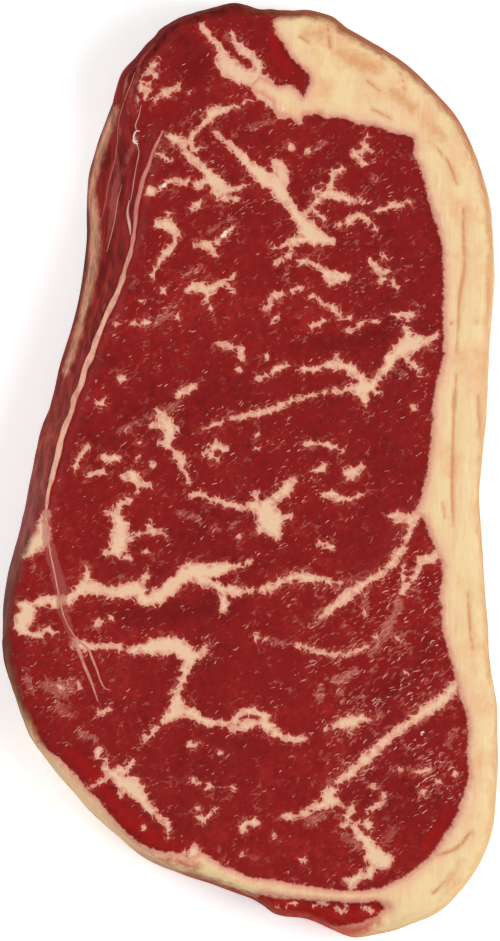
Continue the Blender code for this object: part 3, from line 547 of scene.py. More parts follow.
# The silver skin along the shoulder, the threads that split from it, and those beside it
CORDS = (
    Cord((
        (-18.5, 72.5, .2), (-20.5, 68.0, .36), (-22.0, 64.0, .44), (-23.0, 61.0, .46), (-24.0, 57.0, .44),
        (-24.6, 52.0, .44), (-25.2, 48.5, .46), (-26.0, 45.0, .48), (-27.3, 41.0, .5), (-29.0, 36.5, .54),
        (-30.7, 33.0, .56), (-31.8, 30.0, .6), (-33.3, 26.0, .62), (-34.8, 22.0, .64), (-36.2, 18.0, .64),
        (-37.5, 14.5, .64), (-38.8, 11.0, .62), (-40.0, 7.0, .6), (-41.0, 3.0, .56), (-42.0, -1.0, .5),
        (-43.0, -4.5, .42), (-43.5, -8.0, .32), (-43.8, -11.0, .15),
    )),
    Cord((
        (-37.1, -36.9, .36), (-36.4, -38.7, .44), (-35.3, -41.6, .4), (-34.2, -44.2, .32), (-33.5, -46.0, .26),
        (-32.4, -49.3, .12),
    )),
    Cord((
        (-36.4, -36.4, .2), (-34.5, -38.0, .3), (-33.8, -39.5, .3), (-32.7, -42.4, .28), (-32.0, -44.5, .22),
        (-30.9, -46.4, .12), (-29.8, -46.7, .08),
    )),
    Cord((
        (-24.5, 84.8, .07), (-27.7, 75.8, .12), (-28.3, 69.4, .14), (-29.1, 65.1, .14), (-30.2, 61.4, .13),
        (-30.9, 57.1, .12), (-31.7, 53.4, .06),
    )),
    # A small loop drawn mostly as painted highlight, near-white
    Cord((
        (-23.5, 72.4, .1), (-24.3, 72.2, .15), (-24.7, 71.0, .17), (-24.5, 69.9, .17), (-23.8, 69.6, .12),
    ), .75),
    Cord((
        (-24.3, 69.9, .13), (-23.7, 67.8, .12), (-24.3, 64.2, .13), (-25.0, 60.0, .12), (-25.5, 57.0, .06),
    ), .12),
    Cord(((-23.2, 78.0, .06), (-23.7, 75.6, .1), (-24.4, 73.6, .12), (-24.1, 72.2, .1)), .15),
    Cord((
        (-27.3, 61.0, .08), (-28.2, 57.5, .13), (-28.8, 53.5, .15), (-29.6, 50.0, .12), (-30.6, 46.6, .06),
    ), .2),
    Cord(((-25.7, 57.6, .1), (-26.0, 54.8, .28), (-25.6, 52.0, .3), (-25.5, 50.2, .1)), .22),
    Cord((
        (-36.3, -37.0, .1), (-39.5, -31.5, .16), (-41.2, -24.0, .18), (-42.8, -16.0, .18), (-43.6, -9.0, .12),
    ), .05),
)


# Plain mathematics

def smooth_step(low: float, high: float, value: Array) -> Array:
    """An even ramp.

    Args:
        low: the value at which the ramp starts.
        high: the value at which it ends. It may be less than low, and the ramp then falls.
        value: what to read it at.
    Returns:
        0 before low, 1 past high.
    """
    share = np.clip((value - low) / (high - low), 0.0, 1.0)
    return share * share * (3.0 - 2.0 * share)


def random_field(points: Array, wavelength: float, seed: int) -> Array:
    """Smooth random values.

    Args:
        points: places, one row each.
        wavelength: the distance over which the values change.
        seed: picks the field.
    Returns:
        One value from -1 to 1 for each place.
    """
    scaled = points / wavelength
    cell = np.floor(scaled).astype(np.int64)
    part = scaled - cell
    ease = part * part * (3.0 - 2.0 * part)
    total = np.zeros(len(points))
    for corner in range(8):
        step = np.array([corner >> 2 & 1, corner >> 1 & 1, corner & 1])
        place = cell + step
        key = place[:, 0] * 73856093 ^ place[:, 1] * 19349663 ^ place[:, 2] * 83492791 ^ seed * 26544357
        key = (key ^ (key >> 13)) * 1274126177
        key = key ^ (key >> 16)
        weight = np.prod(np.where(step, ease, 1.0 - ease), axis=1)
        total += weight * ((key & 0xFFFF) / 32767.5 - 1.0)
    return total


def through_points(points: Array, steps: int, closed: bool) -> Array:
    """The smooth curve through points.

    Args:
        points: the points, one row each.
        steps: how many short steps to make between two of them.
        closed: whether the curve comes back to its start.
    Returns:
        The curve's points, without the first one again at the end if it is closed.
    """
    if len(points) < 2:
        return points
    if closed:
        knots = np.concatenate([points[-1:], points, points[:2]])
    else:
        knots = np.concatenate([2 * points[:1] - points[1:2], points, 2 * points[-1:] - points[-2:-1]])
    share = np.arange(steps)[:, None] / steps
    runs = []
    for a, b, c, d in zip(knots, knots[1:], knots[2:], knots[3:]):
        run = 2 * b + (c - a) * share + (2 * a - 5 * b + 4 * c - d) * share**2
        runs.append(0.5 * (run + (3 * b - a - 3 * c + d) * share**3))
    if not closed:
        runs.append(points[-1:])
    return np.concatenate(runs)


def line_distance(places: Array, line: Array, reach: float) -> Array:
    """Distance from places to a line with a width.

    Args:
        places: x and y of each place.
        line: x, y and half-width of each point of the line.
        reach: the largest distance that matters.
    Returns:
        Distance to the line's edge for each place, negative inside it, and at most reach.
    """
    best = np.full(len(places), reach)
    if len(line) == 1:
        line = np.repeat(line, 2, axis=0)
    for start, end in zip(line, line[1:]):
        margin = reach + max(start[2], end[2])
        low = np.minimum(start[:2], end[:2]) - margin
        high = np.maximum(start[:2], end[:2]) + margin
        near = np.flatnonzero(((places > low) & (places < high)).all(axis=1))
        if not len(near):
            continue
        run = end[:2] - start[:2]
        offset = places[near] - start[:2]
        share = np.clip(offset @ run / max(run @ run, 1e-9), 0.0, 1.0)
        gap = np.linalg.norm(offset - share[:, None] * run, axis=1)
        width = start[2] + share * (end[2] - start[2])
        best[near] = np.minimum(best[near], gap - width)
    return best


def inside_polygon(places: Array, polygon: Array) -> Array:
    """Which places lie inside a polygon.

    Args:
        places: x and y of each place.
        polygon: x and y of each corner.
    Returns:
        True for each place inside.
    """
    inside = np.zeros(len(places), bool)
    x, y = places.T
    for start, end in zip(polygon, np.roll(polygon, -1, axis=0)):
        crosses = (start[1] > y) != (end[1] > y)
        if crosses.any():
            at = start[0] + (y - start[1]) * (end[0] - start[0]) / (end[1] - start[1] + 1e-12)
            inside ^= crosses & (x < at)
    return inside


def region_distance(places: Array, polygon: Array, edge: Array, reach: float) -> Array:
    """Distance from places to the edge of a region.

    Args:
        places: x and y of each place.
        polygon: the region's corners.
        edge: the part of its boundary that counts as its edge.
        reach: the largest distance that matters.
    Returns:
        Distance to the edge for each place, negative inside the region.
    """
    thin = np.column_stack([edge, np.zeros(len(edge))])
    gap = line_distance(places, thin, reach)
    return np.where(inside_polygon(places, polygon), -gap, gap)


def linear(colour: str) -> tuple[float, float, float, float]:
    """A colour for a shader.

    Args:
        colour: red, green and blue as a # and six hexadecimal digits.
    Returns:
        The same colour in linear light, with alpha.
    """
    shown = [int(colour[i : i + 2], 16) / 255.0 for i in (1, 3, 5)]
    values = [c / 12.92 if c <= 0.04045 else ((c + 0.055) / 1.055) ** 2.4 for c in shown]
    return (*values, 1.0)


# The skin's shape

class Outline:
    """The steak's widest outline, read by distance round it."""

    def __init__(self, points: Sequence[tuple[float, float, float]]) -> None:
        """Args:
            points: x, y and lean, anticlockwise.
        """
        self.curve = through_points(np.array(points), 12, closed=True)
        ring = np.concatenate([self.curve, self.curve[:1]])
        self.places = np.concatenate([[0.0], np.cumsum(np.linalg.norm(np.diff(ring[:, :2], axis=0), axis=1))])
        self.length = float(self.places[-1])
        self.ring = ring

    def at(self, distance: Array) -> Array:
        """Args:
            distance: how far round the outline.
        Returns:
            x, y and lean there.
        """
        wrapped = np.mod(distance, self.length)
        return np.column_stack([np.interp(wrapped, self.places, self.ring[:, i]) for i in range(3)])

    def inward(self, distance: Array) -> Array:
        """Args:
            distance: how far round the outline.
        Returns:
            The unit direction from the edge into the meat.
        """
        along = self.at(distance + 3.0)[:, :2] - self.at(distance - 3.0)[:, :2]
        along /= np.linalg.norm(along, axis=1)[:, None]
        return np.column_stack([-along[:, 1], along[:, 0]])

    def nearest(self, place: Point) -> float:
        """Args:
            place: x and y.
        Returns:
            How far round the outline the nearest point of it is.
        """
        gaps = np.linalg.norm(self.curve[:, :2] - np.array(place), axis=1)
        return float(self.places[int(np.argmin(gaps))])


@dataclass
class Skin:
    """The steak's skin: where its points are and what they know."""

    plan: Array  # x and y on the drawing, in millimetres
    height: Array  # above the table, in millimetres
    around: Array  # distance round the outline
    faces: list[tuple[int, ...]]
    fields: dict[str, Array] = field(default_factory=dict)
    colours: dict[str, Array] = field(default_factory=dict)


def side_inset(height: Array, lean: Array) -> Array:
    """How far in from the widest outline the side stands.

    Args:
        height: above the table.
        lean: how far the cut face's edge stands in.
    Returns:
        The inset at each height.
    """
    share = height / SLICE.thickness
    over = np.clip((height - (SLICE.thickness - SLICE.top_round)) / SLICE.top_round, 0.0, 1.0)
    under = np.clip((SLICE.foot_round - height) / SLICE.foot_round, 0.0, 1.0)
    inset = lean * share + SLICE.side_bulge * (2.0 * share - 1.0) ** 2
    inset = inset + SLICE.top_round * (1.0 - np.sqrt(1.0 - over**2))
    return inset + SLICE.foot_round * (1.0 - np.sqrt(1.0 - under**2))


class SkinBuilder:
    """Lays the face grids and the rows down the side over the outline."""

    def __init__(self, outline: Outline) -> None:
        """Args:
            outline: the steak's widest outline.
        """
        self.outline = outline
        self.stops = [outline.nearest(corner) for corner in CORNERS]
        self.spans = [(self.stops[i] - self.stops[(i + 1) % 4]) % outline.length for i in range(4)]
        self.plans: list[Array] = []
        self.heights: list[Array] = []
        self.arounds: list[Array] = []
        self.faces: list[tuple[int, ...]] = []
        self.count = 0

    def _add(self, around: Array, reach: Array, height: Array) -> Array:
        """Add points given by distance round the outline, share of the way out to it, and height.

        Args:
            around: distance round the outline.
            reach: 0 in the middle and 1 at the side.
            height: above the table.
        Returns:
            The numbers of the new points.
        """
        edge = self.outline.at(around)
        inset = side_inset(height, edge[:, 2])
        foot = edge[:, :2] + self.outline.inward(around) * inset[:, None]
        self.plans.append(foot * reach[:, None])
        self.heights.append(height)
        self.arounds.append(around)
        numbers = np.arange(self.count, self.count + len(around))
        self.count += len(around)
        return numbers

    def _face_grid(self, across: int, along: int, height: float) -> Array:
        """Add the points and quads of a cut face.

        Args:
            across: cells across the steak.
            along: cells along it.
            height: of the face.
        Returns:
            The numbers of its points, indexed by column and row.
        """
        u, v = np.meshgrid(np.linspace(-1, 1, across + 1), np.linspace(-1, 1, along + 1), indexing="ij")
        u, v = u.ravel(), v.ravel()
        reach = np.maximum(np.abs(u), np.abs(v))
        upright = np.abs(v) >= np.abs(u)
        safe_u = np.where(np.abs(u) < 1e-9, 1.0, u)
        safe_v = np.where(np.abs(v) < 1e-9, 1.0, v)
        side = np.where(upright, np.where(v > 0, 0, 2), np.where(u > 0, 1, 3))
        share = np.where(upright, 0.5 + 0.5 * u / safe_v, 0.5 - 0.5 * v / safe_u)
        around = np.array(self.stops)[side] - np.array(self.spans)[side] * share
        numbers = self._add(around, reach, np.full(len(u), height)).reshape(across + 1, along + 1)
        corners = (numbers[:-1, :-1], numbers[1:, :-1], numbers[1:, 1:], numbers[:-1, 1:])
        self.faces += np.stack(corners, axis=-1).reshape(-1, 4).tolist()
        return numbers

    @staticmethod
    def _rim_of(grid: Array) -> Array:
        """Args:
            grid: a face's point numbers.
        Returns:
            Those on its edge, clockwise from the top left.
        """
        return np.concatenate([grid[:-1, -1], grid[-1, :0:-1], grid[:0:-1, 0], grid[0, :-1]])

    def _row(self, around: Array, height: float) -> Array:
        """Add a row of points round the side.

        Args:
            around: their distances round the outline.
            height: of the row.
        Returns:
            Their numbers.
        """
        return self._add(around, np.ones(len(around)), np.full(len(around), height))

    def _join(self, upper: Array, lower: Array) -> None:
        """Join two rows of the side, where the lower one may have half as many points.

        Args:
            upper: numbers of the upper row.
            lower: numbers of the lower row.
        """
        if len(upper) == len(lower):
            corners = (upper, np.roll(upper, -1), np.roll(lower, -1), lower)
            self.faces += np.stack(corners, axis=-1).tolist()
            return
        first, middle, last = upper[::2], upper[1::2], np.roll(upper[::2], -1)
        after = np.roll(lower, -1)
        for corners in ((first, middle, lower), (middle, after, lower), (middle, last, after)):
            self.faces += np.stack(corners, axis=-1).tolist()

    def build(self) -> Skin:
        """Returns:
            The whole closed skin, without relief.
        """
        upper = self._face_grid(CELLS.across, CELLS.along, SLICE.thickness)
        row = self._rim_of(upper)
        around = np.concatenate(self.arounds)[row]
        for step in range(1, CELLS.round_rows + 1):
            angle = 0.5 * math.pi * step / CELLS.round_rows
            height = SLICE.thickness - SLICE.top_round * (1.0 - math.cos(angle))
            next_row = self._row(around, height)
            self._join(row, next_row)
            row = next_row
        around = around[::2]
        low, high = SLICE.foot_round, SLICE.thickness - SLICE.top_round
        for step in range(1, CELLS.side_rows + 1):
            next_row = self._row(around, high + (low - high) * step / CELLS.side_rows)
            self._join(row, next_row)
            row = next_row
        for angle in (math.pi / 6, math.pi / 3):
            next_row = self._row(around, SLICE.foot_round * (1.0 - math.sin(angle)))
            self._join(row, next_row)
            row = next_row
        lower = self._face_grid(CELLS.across // 2, CELLS.along // 2, 0.0)
        self._join(row, self._rim_of(lower))
        plan, height = np.concatenate(self.plans), np.concatenate(self.heights)
        return Skin(plan, height, np.concatenate(self.arounds), self.faces)


def skin_normals(skin: Skin) -> Array:
    """Normals of the skin without relief.

    Args:
        skin: the skin.
    Returns:
        A unit normal for each point.
    """
    mesh = bpy.data.meshes.new("plain")
    mesh.from_pydata(np.column_stack([skin.plan, skin.height]).tolist(), [], skin.faces)
    shape = bmesh.new()
    shape.from_mesh(mesh)
    bmesh.ops.recalc_face_normals(shape, faces=shape.faces[:])
    skin.faces = [tuple(v.index for v in face.verts) for face in shape.faces]
    normals = np.array([vert.normal[:] for vert in shape.verts])
    shape.free()
    bpy.data.meshes.remove(mesh)
    return normals


class Painter:
    """Works out what each point of the skin is made of."""

    REACH = 6.0  # farther than this from a tissue, its distance no longer matters
    UNDERSIDE_SHIFT = 3.0  # how far the marbling wanders by the time it reaches the underside
    SIDE_SHIFT = 3.0  # how far a tissue's edge wanders on its way down the upright side
    SIDE_FADE = 4.0  # how far strokes that were drawn on the upper face draw back there
    RIM_STIR = ((12.0, 7.0), (4.0, 2.5))  # size and reach of the layers that stir the rim's colours there
    STREAM_SLANT = 38.0  # the way that streams of flecks run, in degrees

    def __init__(self, skin: Skin, outline: Outline) -> None:
        """Args:
            skin: the skin, which receives the fields.
            outline: the steak's widest outline.
        """
        self.skin = skin
        self.outline = outline
        places = np.column_stack([skin.plan, np.zeros(len(skin.plan))])
        deep = smooth_step(7.0, 0.5, skin.height)[:, None] * self.UNDERSIDE_SHIFT
        wander = np.column_stack([random_field(places, 24.0, 5), random_field(places, 24.0, 6)])
        places = np.column_stack([skin.plan, skin.height])
        self.upright = smooth_step(4.5, 2.0, outline.at(skin.around)[:, 2])
        self.upright *= smooth_step(SLICE.thickness - 3.0, SLICE.thickness - 10.0, skin.height)
        self.upright *= smooth_step(0.4, 3.0, skin.height)
        stir = np.column_stack([random_field(places, 9.0, 7), random_field(places, 9.0, 8)])
        self.places = skin.plan + deep * wander + self.upright[:, None] * self.SIDE_SHIFT * stir

    def paint(self) -> None:
        """Store every field."""
        self.tissues()
        self.cap()
        self.rim()
        self.lobe()
        self.lean()

    def tissues(self) -> None:
        """Store the distance to each tissue's strokes."""
        for tissue, strokes in STROKES.items():
            best = np.full(len(self.places), self.REACH)
            for stroke in strokes:
                line = through_points(np.array(stroke, float), 3, closed=False)
                best = np.minimum(best, line_distance(self.places, line, self.REACH))
            self.skin.fields[tissue.value] = best + self.SIDE_FADE * self.upright

    def cap(self) -> None:
        """Store the distance to the fat cap and rim, negative inside them."""
        edge = np.array(LEAN_EDGE)
        lean = np.concatenate([edge, np.array(LEAN_SIDE)])
        from_lean = region_distance(self.places, lean, edge, self.REACH)
        tail = np.array(TAIL)
        from_tail = region_distance(self.places, tail, np.concatenate([tail, tail[:1]]), self.REACH)
        self.skin.fields["cap"] = np.maximum(-from_lean, -from_tail)

    def lobe(self) -> None:
        """Store where the lower right lobe is, whose fibres run the other way."""
        x, y = self.places.T
        across = smooth_step(4.0, 12.0, x + 0.25 * (y + 20.0))
        self.skin.fields["lobe"] = across * smooth_step(-18.0, -28.0, y) * smooth_step(-78.0, -66.0, y)

    def lean(self) -> None:
        """Store how much lean there is to scatter flecks on, on the upper face."""
        fields = self.skin.fields
        clear = smooth_step(0.0, 0.8, np.minimum(fields["fat"], fields["cap"])) * smooth_step(0.2, 1.5, fields["rim"])
        clear *= smooth_step(0.0, 1.5, fields["bright"])
        x, y = self.places.T
        slant = math.radians(self.STREAM_SLANT)
        along, across = x * math.cos(slant) + y * math.sin(slant), y * math.cos(slant) - x * math.sin(slant)
        streams = random_field(np.column_stack([along / 4.0, across, np.zeros(len(x))]), 2.0, 21)
        near = smooth_step(4.0, 1.0, fields["fat"])
        clear *= np.minimum(1.0, 0.12 + 0.26 * near + 0.8 * fields["lobe"]) * smooth_step(-0.35, 0.5, streams)
        clear = np.maximum(clear, smooth_step(1.2, -0.2, fields["soft"]) * smooth_step(0.0, 0.6, fields["fat"]))
        fields["lean"] = clear * (self.skin.height > SLICE.thickness - 0.01)

    def rim(self) -> None:
        """Store the rim's colour and how far each point lies inside it."""
        outline = self.outline
        stops = np.array([outline.nearest(tone[:2]) for tone in RIM_TONES])
        order = np.argsort(stops)
        stops = stops[order]
        tones = np.array([(*linear(tone[2]), tone[3]) for tone in RIM_TONES])[order]
        stops = np.concatenate([stops[-1:] - outline.length, stops, stops[:1] + outline.length])
        tones = np.concatenate([tones[-1:], tones, tones[:1]])
        points = np.column_stack([self.skin.plan, self.skin.height])
        stir = sum(reach * random_field(points, size, i + 9) for i, (size, reach) in enumerate(self.RIM_STIR))
        around = np.mod(self.skin.around + self.upright * stir, outline.length)
        read = np.column_stack([np.interp(around, stops, tones[:, i]) for i in range(5)])
        self.skin.colours["rim_tone"] = read[:, :4]
        ring = np.column_stack([outline.ring[:, :2], np.zeros(len(outline.ring))])
        self.skin.fields["rim"] = line_distance(self.skin.plan, ring[::3], 14.0) - read[:, 4]


class Relief:
    """Raises the skin's form, the same as the CAD solid's, and then its finer texture."""

    FACE_WAVES = ((46.0, 0.9), (19.0, 0.45))
    SIDE_WAVES = ((28.0, 1.1), (11.0, 0.5))
    FINE_WAVES = ((6.0, 0.16), (2.6, 0.10), (1.3, 0.06))
    CAP_RISE = 0.7
    CAP_BANK = 3.0
    SEAM_DEPTH = 0.55
    SEAM_REACH = 2.0
    SKIN_RISE = 0.8
    SKIN_REACH = 1.8
    FLAP_DROP = 1.6
    FLAP_REACH = 2.6
    FURROWS = 3
    FURROW_DEPTH = 0.45
    DRY_EDGE = 0.35
    VEIN_RISE = 0.14
    SEAMS = (
        ((38.5, -5.0), (35.0, -11.5), (31.0, -18.5), (24.5, -23.8), (15.0, -31.0)),
        ((44.0, -46.0), (37.0, -51.5), (28.5, -58.0), (21.0, -65.0), (16.5, -71.0)),
        ((-41.0, -27.0), (-34.0, -25.0), (-22.0, -27.0), (-12.0, -21.5), (-2.0, -20.5)),
        ((-10.0, 95.0), (-4.0, 87.0), (3.0, 81.0), (10.0, 77.5)),
        ((1.0, 64.5), (6.5, 60.5), (11.5, 52.0), (16.5, 49.0)),
    )
    SHOULDER = ((-18.5, 72.5), (-22.8, 61.5), (-25.0, 50.0), (-29.8, 35.0), (-35.8, 19.0), (-41.0, 3.0), (-43.3, -8.0))
    FLAP = ((4.0, -91.8), (12.0, -93.2), (20.0, -94.2), (28.0, -93.6))

    def __init__(self, skin: Skin) -> None:
        """Args:
            skin: the painted skin.
        """
        self.skin = skin
        self.points = np.column_stack([skin.plan, skin.height])

    @staticmethod
    def _waves(points: Array, layers: Iterable[tuple[float, float]]) -> Array:
        """Args:
            points: places, one row each.
            layers: (wavelength, height) of each layer.
        Returns:
            The slow unevenness at each place.
        """
        total = np.zeros(len(points))
        for wavelength, height in layers:
            scaled = points / wavelength
            total += height * np.array([noise.noise(Vector(row)) for row in scaled.tolist()])
        return total

    def _along(self, line: Sequence[Point], reach: float) -> Array:
        """Args:
            line: x and y of each of a line's points.
            reach: how wide the line's effect is.
        Returns:
            1 on the line, falling to 0 past reach.
        """
        thin = np.column_stack([np.array(line), np.zeros(len(line))])
        return np.exp(-((line_distance(self.skin.plan, thin, 12.0) / reach) ** 2))

    def _face(self) -> Array:
        """Returns:
            How far the upper cut face stands above its plane.
        """
        fields = self.skin.fields
        rise = self._waves(self.points, self.FACE_WAVES)
        rise += self.CAP_RISE * smooth_step(0.5 * self.CAP_BANK, -0.5 * self.CAP_BANK, fields["cap"])
        for seam in self.SEAMS:
            rise -= self.SEAM_DEPTH * self._along(seam, self.SEAM_REACH)
        rise += self.SKIN_RISE * self._along(self.SHOULDER, self.SKIN_REACH)
        rise -= self.FLAP_DROP * self._along(self.FLAP, self.FLAP_REACH)
        return rise

    def _side(self) -> Array:
        """Returns:
            How far the side swells out, with its layers of membrane as long furrows.
        """
        x, y, height = self.points.T
        leaning = smooth_step(20.0, 32.0, -x) * smooth_step(-30.0, 20.0, y)
        furrow = self.FURROW_DEPTH * leaning * np.cos(2.0 * math.pi * self.FURROWS * height / SLICE.thickness)
        return self._waves(self.points, self.SIDE_WAVES) + furrow

    def _fine(self) -> Array:
        """Returns:
            The fine unevenness: lean that is a little ragged, fat that is smooth and stands proud.
        """
        fields = self.skin.fields
        fat = smooth_step(0.3, -0.3, np.minimum(fields["fat"], fields["cap"]))
        ragged = sum(h * random_field(self.points, w, i + 11) for i, (w, h) in enumerate(self.FINE_WAVES))
        vein = smooth_step(0.5, -0.3, fields["fat"]) * smooth_step(-0.5, 0.5, fields["cap"])
        crack = smooth_step(0.7, 0.0, fields["crack"])
        return ragged * (1.0 - 0.6 * fat) + self.VEIN_RISE * vein - 0.35 * crack

    def raise_up(self) -> Array:
        """Returns:
            Every point with its relief, centred over the origin, in millimetres.
        """
        share = self.skin.height / SLICE.thickness
        normals = skin_normals(self.skin)
        up = smooth_step(0.35, 0.9, normals[:, 2])
        clear = smooth_step(0.5 * self.DRY_EDGE, self.DRY_EDGE, share)
        move = up * self._face() + (1.0 - up) * self._side() * clear
        move += self._fine() * np.maximum(up, clear)
        above = share >= 0.5 * self.DRY_EDGE
        points = self.points + normals * (move * above)[:, None]
        low, high = points.min(axis=0), points.max(axis=0)
        middle = 0.5 * (low + high)
        middle[2] = low[2]
        stretch = np.array([SLICE.width / (high[0] - low[0]), SLICE.length / (high[1] - low[1]), 1.0])
        self.skin.fields["facing"] = up
        return (points - middle) * stretch


# Finishes

Socket = bpy.types.NodeSocket


def add_node(tree: bpy.types.NodeTree, kind: str, inputs: dict, **settings: object) -> bpy.types.Node:
    """Add a node to a tree.

    Args:
        tree: the node tree.
        kind: the node's type.
        inputs: a value or a socket for each input, by name or number.
        settings: the node's own properties.
    Returns:
        The new node.
    """
    node = tree.nodes.new(kind)
    for name, value in settings.items():
        setattr(node, name, value)
    fill_inputs(tree, node, inputs)
    return node


def fill_inputs(tree: bpy.types.NodeTree, node: bpy.types.Node, inputs: dict) -> None:
    """Give a node's inputs their values and links.

    Args:
        tree: the node tree.
        node: the node.
        inputs: a value or a socket for each input, by name or number.
    """
    for key, value in inputs.items():
        if isinstance(value, Socket):
            tree.links.new(value, node.inputs[key])
        else:
            node.inputs[key].default_value = value


class Graph:
    """A material's node tree, with a method for each kind of node that the finishes use."""

    def __init__(self, name: str) -> None:
        """Args:
            name: the material's name.
        """
        self.material = bpy.data.materials.new(name)
        self.material.use_nodes = True
        self.tree = self.material.node_tree
        self.surface = self.tree.nodes["Principled BSDF"]

    def put(self, kind: str, inputs: dict, **settings: object) -> bpy.types.Node:
        """Args:
            kind: the node's type.
            inputs: a value or a socket for each input, by name or number.
            settings: the node's own properties.
        Returns:
            The new node.
        """
        return add_node(self.tree, kind, inputs, **settings)

    def gap(self, name: str, wander: Socket, reach: float) -> Socket:
        """Args:
            name: of a distance that the skin stores.
            wander: noise about 0.
            reach: how far the noise moves the edge.
        Returns:
            The distance with an uneven edge.
        """
        return self.math("ADD", self.field(name), self.math("MULTIPLY", wander, reach))

    def place(self) -> Socket:
        """Returns:
            The place on the object, in millimetres.
        """
        where = self.put("ShaderNodeTexCoord", {}).outputs["Object"]
        return self.put("ShaderNodeVectorMath", {0: where, "Scale": 1.0 / MM}, operation="SCALE").outputs[0]

    def field(self, name: str) -> Socket:
        """Args:
            name: of a field that the skin stores.
        Returns:
            Its value.
        """
        return self.put("ShaderNodeAttribute", {}, attribute_name=name).outputs["Fac"]

    def tint(self, name: str) -> Socket:
        """Args:
            name: of a colour that the skin stores.
        Returns:
            The colour.
        """
        return self.put("ShaderNodeAttribute", {}, attribute_name=name).outputs["Color"]

    def math(self, operation: str, a: object, b: object = 0.0, c: object = 0.0) -> Socket:
        """Args:
            operation: the name of the operation.
            a: the first value.
            b: the second.
            c: the third, where there is one.
        Returns:
            The result.
        """
        return self.put("ShaderNodeMath", {0: a, 1: b, 2: c}, operation=operation).outputs[0]

    def ramp(self, value: object, start: float, end: float, low: float = 0.0, high: float = 1.0) -> Socket:
        """Args:
            value: what to read.
            start: the value that gives low.
            end: the value that gives high.
            low: the result at start.
            high: the result at end.
        Returns:
            A smooth ramp between the two.
        """
        keys = {"Value": value, "From Min": start, "From Max": end, "To Min": low, "To Max": high}
        return self.put("ShaderNodeMapRange", keys, interpolation_type="SMOOTHSTEP").outputs[0]

    def noise(self, where: Socket, size: float, detail: float = 2.0, rough: float = 0.5, twist: float = 0.0) -> Socket:
        """Args:
            where: the place.
            size: of the largest features, in millimetres.
            detail: how many finer layers.
            rough: how strong the finer layers are.
            twist: how far the features are distorted.
        Returns:
            Values about 0.5.
        """
        keys = {"Vector": where, "Scale": 1.0 / size, "Detail": detail, "Roughness": rough, "Distortion": twist}
        return self.put("ShaderNodeTexNoise", keys).outputs["Fac"]

    def stretch(self, where: Socket, angle: float, sizes: tuple[float, float, float]) -> Socket:
        """Args:
            where: the place.
            angle: from X to the way that the features run, in degrees.
            sizes: how many times longer they are that way, across it, and upwards.
        Returns:
            The turned and squeezed place.
        """
        keys = {"Vector": where, "Rotation": (0.0, 0.0, math.radians(angle)), "Scale": sizes}
        return self.put("ShaderNodeMapping", keys, vector_type="TEXTURE").outputs[0]

    def wobble(self, where: Socket, size: float, reach: float) -> Socket:
        """Args:
            where: the place.
            size: of the wobbles, in millimetres.
            reach: how far they move it.
        Returns:
            The place, moved unevenly.
        """
        keys = {"Vector": where, "Scale": 1.0 / size, "Detail": 2.0}
        colour = self.put("ShaderNodeTexNoise", keys).outputs["Color"]
        keys = {0: colour, 1: (reach, reach, reach), 2: where}
        return self.put("ShaderNodeVectorMath", keys, operation="MULTIPLY_ADD").outputs[0]

    def blend(self, factor: object, a: object, b: object, mode: str = "MIX") -> Socket:
        """Args:
            factor: 0 gives a and 1 gives b.
            a: the first colour.
            b: the second.
            mode: how they are combined.
        Returns:
            The colour.
        """
        return self.put("ShaderNodeMix", {0: factor, 6: a, 7: b}, data_type="RGBA", blend_type=mode).outputs[2]

    def finish(self, inputs: dict) -> bpy.types.Material:
        """Args:
            inputs: a value or a socket for each input of the surface.
        Returns:
            The material.
        """
        fill_inputs(self.tree, self.surface, inputs)
        return self.material


@dataclass(frozen=True)
class MeatColours:
    """Colours of the lean and its fat, and the near-white of the painted highlights."""

    dark: str = "#6A1618"
    lean: str = "#831A19"
    bright: str = "#992420"
    glow: str = "#9E1612"
    grain: str = "#AE3F35"
    fleck: str = "#C47A69"
    fat: str = "#E5C09E"
    fat_pink: str = "#CD8270"
    cap: str = "#EACF9E"
    cap_pink: str = "#E6B494"
    cap_peach: str = "#E2A672"
    membrane: str = "#A8524B"
    tan: str = "#CC9678"
    crack: str = "#CE875A"
    stain: str = "#AE2E1E"
    grain_pink: str = "#CC7E6C"
    fat_rose: str = "#E2A994"
    shade: str = "#650E12"
    cap_pale: str = "#F2E2B8"
    crack_core: str = "#C06C3E"
    stain_dry: str = "#D69A6A"
    dark_line: str = "#472018"
    thread: str = "#E2AC92"
    thread_pink: str = "#C87A6C"
    thread_low: str = "#CC7F6E"
    thread_dark: str = "#B05E52"
    sliver: str = "#E4A794"
    # near-white of the painted highlights, also laid on the cords
    glint: str = "#F6E9DF"


COLOURS = MeatColours()


@dataclass(frozen=True)
class Squiggles:
    """One layer of the thin pale lines in the lean."""

    angle: float  # the way they mostly run, in degrees
    size: float  # of the noise whose contours they follow, in millimetres
    stretch: float  # how much longer than wide its features are
    width: float  # as a share of the noise's range
    keep: float  # how much of their length is left out
    shift: float  # moves the layer, so that no two match
    strength: float


LEAN_SQUIGGLES = (
    Squiggles(angle=36.0, size=1.0, stretch=2.8, width=0.045, keep=0.6, shift=0.0, strength=0.36),
    Squiggles(angle=18.0, size=1.9, stretch=2.0, width=0.024, keep=0.6, shift=31.0, strength=0.36),
)
LOBE_SQUIGGLES = Squiggles(angle=39.0, size=0.8, stretch=4.0, width=0.07, keep=0.54, shift=13.0, strength=0.5)


